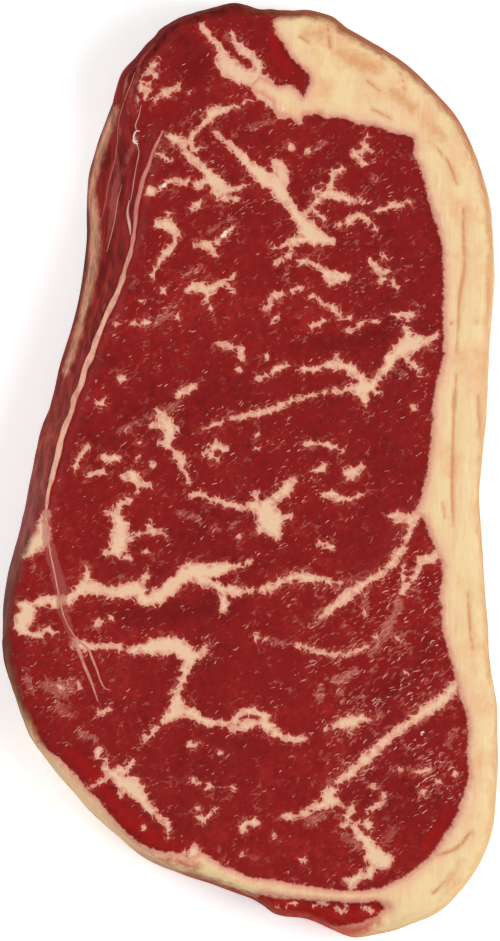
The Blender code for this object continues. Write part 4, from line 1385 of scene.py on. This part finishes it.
def squiggle_layer(graph: Graph, where: Socket, layer: Squiggles, extra: Socket) -> Socket:
    """How pale one layer of thin lines makes the lean.

    Args:
        graph: the material.
        where: the place.
        layer: what the lines are like.
        extra: how much more of them is kept, 0 for no more.
    Returns:
        0 off the lines, up to the layer's strength on them.
    """
    keys = {0: where, 1: (layer.shift, layer.shift, 0.0)}
    moved = graph.put("ShaderNodeVectorMath", keys, operation="ADD").outputs[0]
    drawn = graph.stretch(moved, layer.angle, (layer.stretch, 1.0, 1.0))
    contour = graph.math("ABSOLUTE", graph.math("SUBTRACT", graph.noise(drawn, layer.size, 2.0, 0.45, 0.5), 0.5))
    chosen = graph.math("ADD", graph.noise(moved, 2.6, 2.0, 0.6), extra)
    kept = graph.ramp(chosen, layer.keep, layer.keep + 0.1, 0.0, layer.strength)
    return graph.math("MULTIPLY", graph.ramp(contour, layer.width, 0.3 * layer.width), kept)


def lean_colour(graph: Graph, where: Socket, bundle: Socket, extra: Socket) -> Socket:
    """The lean: broad tones, then patches, bundles of fibres, their grain, and thin pale lines.

    Args:
        graph: the material.
        where: the place.
        bundle: 0 in the middle of a bundle, rising to its border.
        extra: how much more of the pale lines is kept.
    Returns:
        Its colour.
    """
    broad = graph.noise(where, 22.0, 2.0)
    patch = graph.noise(where, 5.5, 4.0, 0.6, 0.8)
    grain = graph.noise(graph.stretch(where, 34.0, (2.2, 1.0, 1.0)), 0.8, 4.0, 0.62, 0.4)
    tone = graph.math("ADD", graph.ramp(broad, 0.3, 0.7, -0.16, 0.16), graph.ramp(patch, 0.28, 0.72, 0.38, 0.62))
    tone = graph.math("ADD", tone, graph.ramp(grain, 0.28, 0.72, -0.16, 0.16))
    tone = graph.math("ADD", tone, graph.ramp(bundle, 0.2, 0.7, -0.08, 0.1))
    lean = graph.blend(graph.ramp(tone, 0.0, 0.5), linear(COLOURS.dark), linear(COLOURS.lean))
    lean = graph.blend(graph.ramp(tone, 0.5, 1.05), lean, linear(COLOURS.bright))
    edges = graph.put(
        "ShaderNodeTexVoronoi",
        {"Vector": graph.wobble(graph.stretch(where, 36.0, (2.2, 1.0, 1.0)), 1.2, 0.7), "Scale": 1.0 / 1.4},
        feature="DISTANCE_TO_EDGE",
    ).outputs["Distance"]
    chosen = graph.math("ADD", graph.noise(where, 3.4, 3.0, 0.62), extra)
    web = graph.math("MULTIPLY", graph.ramp(edges, 0.09, 0.02), graph.ramp(chosen, 0.56, 0.7, 0.0, 0.36))
    lean = graph.blend(web, lean, linear(COLOURS.fleck))
    for layer in LEAN_SQUIGGLES:
        lean = graph.blend(squiggle_layer(graph, where, layer, extra), lean, linear(COLOURS.fleck))
    lobe = graph.math("MULTIPLY", squiggle_layer(graph, where, LOBE_SQUIGGLES, extra), graph.field("lobe"))
    return graph.blend(lobe, lean, linear(COLOURS.fleck))


def meat_finish() -> bpy.types.Material:
    """Returns:
        Wet lean, its marbling, the fat cap and the rim, with small painted highlights, all painted by the skin's
        fields.
    """
    graph = Graph("meat")
    where = graph.place()
    patch = graph.noise(where, 3.2, 3.0, 0.55)
    fine = graph.noise(where, 0.4, 2.0, 0.5)

    # Round bundles of fibres: fat comes in between them, and they bulge into the fat
    cells = {"Vector": graph.wobble(where, 1.6, 1.1), "Scale": 1.0 / 1.7}
    bundle = graph.put("ShaderNodeTexVoronoi", cells, feature="F1").outputs["Distance"]
    cells = {"Vector": graph.wobble(where, 1.5, 1.1), "Scale": 1.0 / 2.0}
    crevice = graph.put("ShaderNodeTexVoronoi", cells, feature="DISTANCE_TO_EDGE").outputs["Distance"]
    bite = graph.math("ADD", graph.ramp(bundle, 0.12, 0.78, 0.3, -0.24), graph.ramp(crevice, 0.0, 0.14, -0.42, 0.08))
    bite = graph.math("ADD", bite, graph.ramp(fine, 0.2, 0.8, -0.1, 0.1))
    fat_gap = graph.math("ADD", graph.field("fat"), bite)
    soft_gap = graph.math("ADD", graph.field("soft"), bite)
    extra = graph.math("MAXIMUM", graph.ramp(soft_gap, 1.0, -0.3, 0.0, 0.16), graph.ramp(fat_gap, 1.8, 0.2, 0.0, 0.1))
    bright = graph.math("ADD", graph.field("bright"), graph.ramp(patch, 0.2, 0.8, -0.8, 0.8))
    extra = graph.math("SUBTRACT", extra, graph.ramp(bright, 1.2, -0.4, 0.0, 0.2))
    lean = lean_colour(graph, where, bundle, extra)
    lean = graph.blend(graph.ramp(bright, 1.6, -1.2, 0.0, 0.6), lean, linear(COLOURS.glow))
    lean = graph.blend(graph.ramp(graph.field("shade"), 3.0, -1.5, 0.0, 0.55), lean, linear(COLOURS.shade))

    # Marbling: the stored distances, with pink edges and a cream middle
    body = graph.blend(graph.ramp(fat_gap, 1.1, 0.0, 0.0, 0.28), lean, linear(COLOURS.grain))
    veil = graph.math("MULTIPLY", graph.ramp(soft_gap, 0.4, -0.8, 0.0, 0.34), graph.ramp(patch, 0.3, 0.7, 0.4, 1.0))
    body = graph.blend(veil, body, linear(COLOURS.fat_pink))
    marble = graph.blend(graph.ramp(fat_gap, 0.15, -1.15), linear(COLOURS.fat_pink), linear(COLOURS.fat))
    marble = graph.blend(graph.ramp(patch, 0.46, 0.7, 0.0, 0.5), marble, linear(COLOURS.fat_rose))
    marble = graph.blend(graph.ramp(fine, 0.6, 0.74, 0.0, 0.35), marble, linear(COLOURS.grain_pink))
    body = graph.blend(graph.ramp(fat_gap, 0.18, -0.12), body, marble)

    # Cap: cream fat, pinker beside the lean, with peach blotches
    wander = graph.ramp(graph.noise(where, 1.7, 3.0, 0.62, 0.4), 0.2, 0.8, -0.42, 0.42)
    cap_gap = graph.gap("cap", wander, 0.5)
    cap_gap = graph.math("ADD", cap_gap, graph.math("MULTIPLY", bite, 0.4))
    along = graph.noise(graph.stretch(where, 0.0, (1.0, 4.0, 1.0)), 3.0, 4.0, 0.6)
    blotch = graph.ramp(graph.noise(where, 9.0, 4.0, 0.6), 0.45, 0.75, 0.0, 0.8)
    cap = graph.blend(blotch, linear(COLOURS.cap), linear(COLOURS.cap_peach))
    cap = graph.blend(graph.ramp(along, 0.4, 0.75, 0.0, 0.55), cap, linear(COLOURS.cap_pink))
    cap = graph.blend(graph.ramp(cap_gap, -3.4, -0.1, 0.0, 0.85), cap, linear(COLOURS.cap_pink))
    fibre = graph.noise(graph.stretch(where, 88.0, (9.0, 1.0, 1.0)), 0.7, 3.0, 0.6, 0.3)
    cap = graph.blend(graph.ramp(fibre, 0.52, 0.75, 0.0, 0.35), cap, linear(COLOURS.cap_peach))
    cap = graph.blend(graph.ramp(fibre, 0.45, 0.25, 0.0, 0.3), cap, linear(COLOURS.cap_pale))
    crack_gap = graph.gap("crack", wander, 0.25)
    cap = graph.blend(graph.ramp(crack_gap, 0.9, 0.0, 0.0, 0.3), cap, linear(COLOURS.crack))
    cap = graph.blend(graph.ramp(crack_gap, 0.24, 0.0, 0.0, 0.5), cap, linear(COLOURS.crack_core))
    stain_gap = graph.gap("stain", wander, 2.0)
    along_y = graph.put("ShaderNodeSeparateXYZ", {0: where}).outputs[1]
    stain = graph.blend(graph.ramp(along_y, 0.0, 10.0), linear(COLOURS.stain), linear(COLOURS.stain_dry))
    cap = graph.blend(graph.ramp(stain_gap, 1.6, -1.2, 0.0, 0.85), cap, stain)
    cap = graph.blend(graph.ramp(cap_gap, -1.5, 0.15, 0.0, 0.8), cap, linear(COLOURS.fat_pink))
    in_cap = graph.ramp(cap_gap, 0.3, -0.25)
    body = graph.blend(in_cap, body, cap)

    # The side below the silver skin, and the rim round the rest
    streak = graph.noise(graph.stretch(where, 8.0, (1.0, 7.0, 1.7)), 1.5, 4.0, 0.6, 0.3)
    rim_wander = graph.ramp(graph.noise(where, 3.0, 3.0, 0.6), 0.25, 0.75, -0.5, 0.5)
    rim_gap = graph.math("ADD", graph.field("rim"), rim_wander)
    off_cap = graph.ramp(graph.field("cap"), -0.8, 0.4)
    shade = graph.math("MULTIPLY_ADD", graph.ramp(streak, 0.28, 0.72, -0.45, 0.4), off_cap, 1.0)
    shades = graph.put("ShaderNodeCombineXYZ", {0: shade, 1: shade, 2: shade}).outputs[0]
    rim_tone = graph.blend(1.0, graph.tint("rim_tone"), shades, "MULTIPLY")
    body = graph.blend(graph.ramp(rim_gap, 1.3, -0.7), body, rim_tone)
    thin_gap = graph.gap("membrane", wander, 0.6)
    body = graph.blend(graph.ramp(thin_gap, 0.3, -0.35, 0.0, 0.6), body, linear(COLOURS.membrane))
    tan_gap = graph.gap("tan", wander, 0.8)
    tan = graph.blend(1.0, linear(COLOURS.tan), shades, "MULTIPLY")
    body = graph.blend(graph.ramp(tan_gap, 0.9, -0.9, 0.0, 0.9), body, tan)
    dark_gap = graph.gap("dark", wander, 0.6)
    body = graph.blend(graph.ramp(dark_gap, 0.35, -0.3, 0.0, 0.75), body, linear(COLOURS.dark_line))
    # Painted highlights: the glint strokes turn the colour near-white
    glint_gap = graph.gap("glint", wander, 1.4)
    body = graph.blend(graph.ramp(glint_gap, 0.1, -0.15, 0.0, 0.8), body, linear(COLOURS.glint))

    is_fat = graph.math("MAXIMUM", in_cap, graph.ramp(fat_gap, 0.16, -0.12))
    rise = graph.math("ADD", graph.math("MULTIPLY", bundle, -0.5), graph.math("MULTIPLY", fine, 0.5))
    rise = graph.math("ADD", rise, graph.math("MULTIPLY", is_fat, 0.4))
    bump = graph.put("ShaderNodeBump", {"Height": rise, "Strength": 0.4, "Distance": 0.3 * MM}).outputs[0]
    side_rough = graph.ramp(graph.field("facing"), 0.97, 0.75, 0.0, 0.6)
    rough = graph.math("ADD", graph.ramp(is_fat, 0.0, 1.0, 0.36, 0.46), side_rough)
    return graph.finish(
        {
            "Base Color": body,
            "Roughness": rough,
            "Specular IOR Level": 0.06,
            "Subsurface Weight": 0.1,
            "Subsurface Radius": (1.0, 0.3, 0.2),
            "Subsurface Scale": 0.5 * MM,
            "Normal": bump,
        }
    )


def cord_finish() -> bpy.types.Material:
    """Returns:
        Moist membrane, pink at its upper end and paler down the shoulder, going near-white where a cord is marked for
        it: partly paler membrane, partly painted highlight.
    """
    graph = Graph("silver_skin")
    where = graph.place()
    along = graph.put("ShaderNodeSeparateXYZ", {0: where}).outputs[1]
    colour = graph.blend(graph.ramp(along, 56.0, 30.0), linear(COLOURS.thread_pink), linear(COLOURS.thread))
    colour = graph.blend(graph.ramp(along, 0.0, -20.0, 0.0, 0.75), colour, linear(COLOURS.thread_low))
    tone = graph.ramp(graph.noise(graph.stretch(where, -15.0, (1.0, 3.0, 1.0)), 0.9, 3.0, 0.6), 0.4, 0.75, 0.0, 0.7)
    colour = graph.blend(tone, colour, linear(COLOURS.thread_dark))
    # Near-white painted highlight, with some of the membrane's own paleness, by each cord's mark
    colour = graph.blend(graph.field("paleness_and_glint"), colour, linear(COLOURS.glint))
    surface = {"Base Color": colour, "Roughness": 0.4, "Specular IOR Level": 0.12}
    return graph.finish(surface | {"Subsurface Weight": 0.12, "Subsurface Scale": 0.6 * MM})


def fleck_finish() -> bpy.types.Material:
    """Returns:
        Slivers of fat and connective tissue, each as pale as the scatter made it.
    """
    graph = Graph("flecks")
    colour = graph.blend(graph.ramp(graph.field("pale"), 0.0, 1.2), linear(COLOURS.grain), linear(COLOURS.sliver))
    return graph.finish({"Base Color": colour, "Roughness": 0.4, "Specular IOR Level": 0.1})


# Pieces

def add_piece(obj: bpy.types.Object, material: bpy.types.Material) -> bpy.types.Object:
    """Put a finished piece in the scene, give it its finish, attach it to the root body and log its triangles.

    Args:
        obj: the piece.
        material: its finish.
    Returns:
        The piece.
    """
    if not obj.users_collection:
        bpy.context.scene.collection.objects.link(obj)
    obj.data.materials.clear()
    obj.data.materials.append(material)
    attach(obj, "root")
    triangles = sum(len(face.vertices) - 2 for face in obj.data.polygons)
    log.info("%s: %d triangles", obj.name, triangles)
    return obj


@dataclass
class Steak:
    """The steak's skin as a piece."""

    name: str = "steak_skin"
    points: Array | None = None

    def build(self) -> bpy.types.Object:
        """Returns:
            The piece, which stands for the CAD solid.
        """
        outline = Outline(OUTLINE)
        skin = SkinBuilder(outline).build()
        Painter(skin, outline).paint()
        points = Relief(skin).raise_up()
        skin.plan = points[:, :2]
        Painter(skin, outline).paint()  # again, because the relief has moved the points
        self.points = points * MM
        mesh = bpy.data.meshes.new(self.name)
        mesh.from_pydata(self.points.tolist(), [], skin.faces)
        for name, values in skin.fields.items():
            mesh.attributes.new(name, "FLOAT", "POINT").data.foreach_set("value", values.astype(np.float32))
        for name, values in skin.colours.items():
            stored = mesh.attributes.new(name, "FLOAT_COLOR", "POINT")
            stored.data.foreach_set("color", values.astype(np.float32).ravel())
        mesh.shade_smooth()
        obj = bpy.data.objects.new(self.name, mesh)
        add_piece(obj, meat_finish())
        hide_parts(NODE)
        return obj


@dataclass
class Cords:
    """The silver skin and its threads, laid on the steak as raised cords."""

    steak: bpy.types.Object
    sides: int = 8
    sink: float = 0.35  # share of the half-width that is buried

    def _height(self, x: float, y: float) -> float:
        """Args:
            x: across, in metres.
            y: along, in metres.
        Returns:
            The height of the steak's surface there.
        """
        hit, place, _, _ = self.steak.ray_cast(Vector((x, y, 0.1)), Vector((0.0, 0.0, -1.0)))
        return place.z if hit else 0.0

    def _cord(self, shape: bmesh.types.BMesh, stroke: Stroke, seed: int) -> None:
        """Add one cord, closed at both ends.

        Args:
            shape: the mesh that receives it.
            stroke: x, y and half-width along it, in millimetres.
            seed: picks its wobble.
        """
        line = through_points(np.array(stroke, float), 10, closed=False)
        flat = np.column_stack([line[:, :2], np.full(len(line), 3.7 * seed)])
        line[:, 0] += 0.5 * line[:, 2] * random_field(flat, 3.1, seed)
        line[:, 2] *= 1.0 + 0.3 * random_field(flat, 1.7, seed + 40)
        spine = [Vector((x * MM, y * MM, self._height(x * MM, y * MM))) for x, y, _ in line]
        rings = []
        for i, (middle, radius) in enumerate(zip(spine, line[:, 2] * MM)):
            along = (spine[min(i + 1, len(spine) - 1)] - spine[max(i - 1, 0)]).normalized()
            side = along.cross(Vector((0.0, 0.0, 1.0))).normalized()
            up = side.cross(along)
            middle = middle + up * radius * (0.55 - self.sink)
            turns = [2.0 * math.pi * k / self.sides for k in range(self.sides)]
            spokes = [side * math.cos(turn) + up * 0.7 * math.sin(turn) for turn in turns]
            rings.append([shape.verts.new(middle + spoke * radius) for spoke in spokes])
        for ring, after in zip(rings, rings[1:]):
            for k in range(self.sides):
                shape.faces.new((ring[k], ring[(k + 1) % self.sides], after[(k + 1) % self.sides], after[k]))
        shape.faces.new(rings[0][::-1])
        shape.faces.new(rings[-1])

    def build(self) -> bpy.types.Object:
        """Returns:
            The cords as one piece.
        """
        shape = bmesh.new()
        # Each cord's mark for near-white: partly its paleness, partly painted highlight
        tone = shape.verts.layers.float.new("paleness_and_glint")
        for seed, cord in enumerate(CORDS, start=1):
            made = len(shape.verts)
            self._cord(shape, cord.stroke, seed)
            shape.verts.ensure_lookup_table()
            for vert in shape.verts[made:]:
                vert[tone] = cord.paleness_and_glint
        bmesh.ops.recalc_face_normals(shape, faces=shape.faces[:])
        mesh = bpy.data.meshes.new("silver_skin")
        shape.to_mesh(mesh)
        shape.free()
        mesh.shade_smooth()
        return add_piece(bpy.data.objects.new("silver_skin", mesh), cord_finish())


@dataclass(frozen=True)
class Sliver:
    """One sliver's shape, as shares of its length and of its thickness."""

    bend: float  # how far its middle stands aside, in thicknesses
    swell: float = 0.6
    flatness: float = 0.6
    stations: int = 5

    def build(self, name: str) -> bpy.types.Object:
        """Args:
            name: the object's name.
        Returns:
            A closed bent spindle, one unit long and one thick.
        """
        shape = bmesh.new()
        ends = [shape.verts.new((sign * 0.5, 0.0, 0.0)) for sign in (-1.0, 1.0)]
        rings = []
        for i in range(1, self.stations):
            share = i / self.stations
            fat = 0.5 * math.sin(math.pi * share) ** self.swell
            y = self.bend * math.sin(math.pi * share)
            sides = ((1, 0), (0, 1), (-1, 0), (0, -1))
            rings.append([shape.verts.new((share - 0.5, y + fat * a, self.flatness * fat * b)) for a, b in sides])
        for k in range(4):
            shape.faces.new((ends[0], rings[0][k], rings[0][(k + 1) % 4]))
            shape.faces.new((ends[1], rings[-1][(k + 1) % 4], rings[-1][k]))
            for ring, after in zip(rings, rings[1:]):
                shape.faces.new((ring[k], after[k], after[(k + 1) % 4], ring[(k + 1) % 4]))
        bmesh.ops.recalc_face_normals(shape, faces=shape.faces[:])
        mesh = bpy.data.meshes.new(name)
        shape.to_mesh(mesh)
        shape.free()
        return bpy.data.objects.new(name, mesh)


@dataclass
class Flecks:
    """Thin pale slivers scattered over the lean of the upper face."""

    steak: bpy.types.Object
    per_square_millimetre: float = 1.1
    shortest: float = 0.35
    longest: float = 1.5
    thinnest: float = 0.09
    thickest: float = 0.24
    lobe_growth: float = 0.3
    slant: float = math.radians(36.0)
    slant_spread: float = math.radians(24.0)
    seed: int = 7
    slivers: tuple[Sliver, ...] = (Sliver(0.3), Sliver(-0.9), Sliver(1.3), Sliver(-0.2, 0.9), Sliver(0.6, 0.4))

    def _group(self, kinds: bpy.types.Collection, material: bpy.types.Material) -> bpy.types.NodeTree:
        """Args:
            kinds: the slivers to scatter.
            material: their finish.
        Returns:
            The node group that scatters them.
        """
        tree = bpy.data.node_groups.new("scatter_flecks", "GeometryNodeTree")
        face = tree.interface
        face.new_socket("Geometry", in_out="INPUT", socket_type="NodeSocketGeometry")
        face.new_socket("Geometry", in_out="OUTPUT", socket_type="NodeSocketGeometry")
        for name, kind, value in (
            ("Density", "NodeSocketFloat", self.per_square_millimetre / MM**2),
            ("Shortest", "NodeSocketFloat", self.shortest * MM),
            ("Longest", "NodeSocketFloat", self.longest * MM),
            ("Thinnest", "NodeSocketFloat", self.thinnest * MM),
            ("Thickest", "NodeSocketFloat", self.thickest * MM),
            ("Lobe growth", "NodeSocketFloat", self.lobe_growth),
            ("Slant", "NodeSocketFloat", self.slant),
            ("Slant spread", "NodeSocketFloat", self.slant_spread),
            ("Seed", "NodeSocketInt", self.seed),
        ):
            face.new_socket(name, in_out="INPUT", socket_type=kind).default_value = value

        def put(kind: str, inputs: dict, **settings: object) -> bpy.types.Node:
            """Add a node with its inputs and settings, and return it."""
            return add_node(tree, kind, inputs, **settings)

        def sum_of(a: object, b: object, c: object) -> Socket:
            """The socket of a times b plus c."""
            return put("ShaderNodeMath", {0: a, 1: b, 2: c}, operation="MULTIPLY_ADD").outputs[0]

        def product(a: object, b: object) -> Socket:
            """The socket of a times b."""
            return put("ShaderNodeMath", {0: a, 1: b}, operation="MULTIPLY").outputs[0]

        def stored(name: str) -> Socket:
            """The socket of a value that the skin stores."""
            return put("GeometryNodeInputNamedAttribute", {"Name": name}, data_type="FLOAT").outputs[0]

        def chance(low: object, high: object, offset: int) -> Socket:
            """A random number between low and high for each point, and return its socket."""
            seed = put("ShaderNodeMath", {0: given["Seed"], 1: float(offset)}, operation="ADD").outputs[0]
            node = put("FunctionNodeRandomValue", {2: low, 3: high, "Seed": seed}, data_type="FLOAT")
            return node.outputs[1]

        given = put("NodeGroupInput", {}).outputs
        density = product(given["Density"], stored("lean"))
        keys = {"Mesh": given["Geometry"], "Density": density, "Seed": given["Seed"]}
        points = put("GeometryNodeDistributePointsOnFaces", keys, distribute_method="RANDOM")
        swing = sum_of(chance(-1.0, 1.0, 1), given["Slant spread"], given["Slant"])
        turn = put("FunctionNodeAxisAngleToRotation", {"Axis": (0.0, 0.0, 1.0), "Angle": swing}).outputs[0]
        keys = {"Rotation": turn, "Vector": points.outputs["Normal"]}
        turn = put("FunctionNodeAlignRotationToVector", keys, axis="Z").outputs[0]
        grow = sum_of(stored("lobe"), given["Lobe growth"], 1.0)
        length = product(chance(given["Shortest"], given["Longest"], 2), grow)
        thick = product(chance(given["Thinnest"], given["Thickest"], 4), grow)
        size = put("ShaderNodeCombineXYZ", {0: length, 1: thick, 2: thick}).outputs[0]
        keys = {"Collection": kinds, "Separate Children": True, "Reset Children": True}
        sliver = put("GeometryNodeCollectionInfo", keys).outputs[0]
        keys = {"Points": points.outputs["Points"], "Instance": sliver, "Pick Instance": True}
        slivers = put("GeometryNodeInstanceOnPoints", keys | {"Rotation": turn, "Scale": size}).outputs[0]
        keys = {"Geometry": slivers, "Name": "pale", "Value": chance(0.0, 1.0, 3)}
        marked = put("GeometryNodeStoreNamedAttribute", keys, data_type="FLOAT", domain="INSTANCE").outputs[0]
        whole = put("GeometryNodeRealizeInstances", {"Geometry": marked}).outputs[0]
        done = put("GeometryNodeSetMaterial", {"Geometry": whole, "Material": material}).outputs[0]
        put("NodeGroupOutput", {"Geometry": done})
        return tree

    def build(self) -> bpy.types.Object:
        """Returns:
            All the slivers as one piece.
        """
        kinds = bpy.data.collections.new("slivers")
        for i, sliver in enumerate(self.slivers):
            kinds.objects.link(sliver.build(f"sliver_{i}"))
        material = fleck_finish()
        ground = bpy.data.objects.new("fleck_ground", self.steak.data.copy())
        bpy.context.scene.collection.objects.link(ground)
        modifier = ground.modifiers.new("scatter", "NODES")
        modifier.node_group = self._group(kinds, material)
        bpy.context.view_layer.update()
        evaluated = ground.evaluated_get(bpy.context.evaluated_depsgraph_get())
        mesh = bpy.data.meshes.new_from_object(evaluated)
        mesh.name = "lean_flecks"
        ground.modifiers.remove(modifier)
        bpy.data.objects.remove(ground)
        for obj in list(kinds.objects):
            bpy.data.objects.remove(obj)
        return add_piece(bpy.data.objects.new("lean_flecks", mesh), material)


# Stage

@dataclass(frozen=True)
class Stage:
    """Floor, light and camera, set for a photo taken from straight above."""

    frame_height: float = 0.20085
    frame_middle: Point = (0.0, 0.0)
    sight_height: float = 0.018  # where the frame's height is measured
    camera_distance: float = 4.0
    sensor: float = 36.0
    floor_size: float = 6.0
    floor_glow: float = 0.35
    world_strength: float = 0.3

    def floor(self) -> None:
        """Lay the pale floor."""
        graph = Graph("floor")
        surface = {"Base Color": (0.95, 0.95, 0.95, 1.0), "Roughness": 0.9}
        glow = {"Emission Color": (1.0, 1.0, 1.0, 1.0), "Emission Strength": self.floor_glow}
        material = graph.finish(surface | glow)
        shape = bmesh.new()
        bmesh.ops.create_grid(shape, x_segments=1, y_segments=1, size=0.5 * self.floor_size)
        mesh = bpy.data.meshes.new("floor")
        shape.to_mesh(mesh)
        shape.free()
        mesh.materials.append(material)
        obj = bpy.data.objects.new("floor", mesh)
        bpy.context.scene.collection.objects.link(obj)

    def _lamp(self, name: str, place: tuple[float, float, float], size: float, power: float) -> None:
        """Args:
            name: the lamp's name.
            place: where it hangs. It points at the origin.
            size: its side.
            power: in watts.
        """
        light = bpy.data.lights.new(name, "AREA")
        light.size = size
        light.energy = power
        obj = bpy.data.objects.new(name, light)
        obj.location = place
        obj.rotation_euler = (-Vector(place)).to_track_quat("-Z", "Y").to_euler()
        bpy.context.scene.collection.objects.link(obj)

    def lights(self) -> None:
        """Hang the soft studio light."""
        self._lamp("key", (0.8, -0.2, 1.0), 0.8, 11.5)
        self._lamp("fill", (-0.8, 0.5, 0.9), 1.0, 8.5)
        world = bpy.data.worlds.new("studio")
        world.use_nodes = True
        back = world.node_tree.nodes["Background"]
        back.inputs["Color"].default_value = (1.0, 1.0, 1.0, 1.0)
        back.inputs["Strength"].default_value = self.world_strength
        bpy.context.scene.world = world

    def camera(self) -> None:
        """Set the camera above the steak, with the photo's framing."""
        data = bpy.data.cameras.new("camera")
        data.sensor_width = self.sensor
        data.lens = self.sensor * self.camera_distance / self.frame_height
        obj = bpy.data.objects.new("camera", data)
        obj.location = (*self.frame_middle, self.camera_distance + self.sight_height)
        bpy.context.scene.collection.objects.link(obj)
        bpy.context.scene.camera = obj

    def build(self) -> None:
        """Build the whole stage."""
        self.floor()
        self.lights()
        self.camera()
        view = bpy.context.scene.view_settings
        view.view_transform = "Standard"
        view.look = "None"


def main() -> None:
    """Build the steak, then its stage."""
    logging.basicConfig(level=logging.INFO, format="%(name)s %(message)s")
    steak = Steak().build()
    bpy.context.view_layer.update()
    Cords(steak).build()
    Flecks(steak).build()
    Stage().build()


if __name__ == "__main__":
    main()
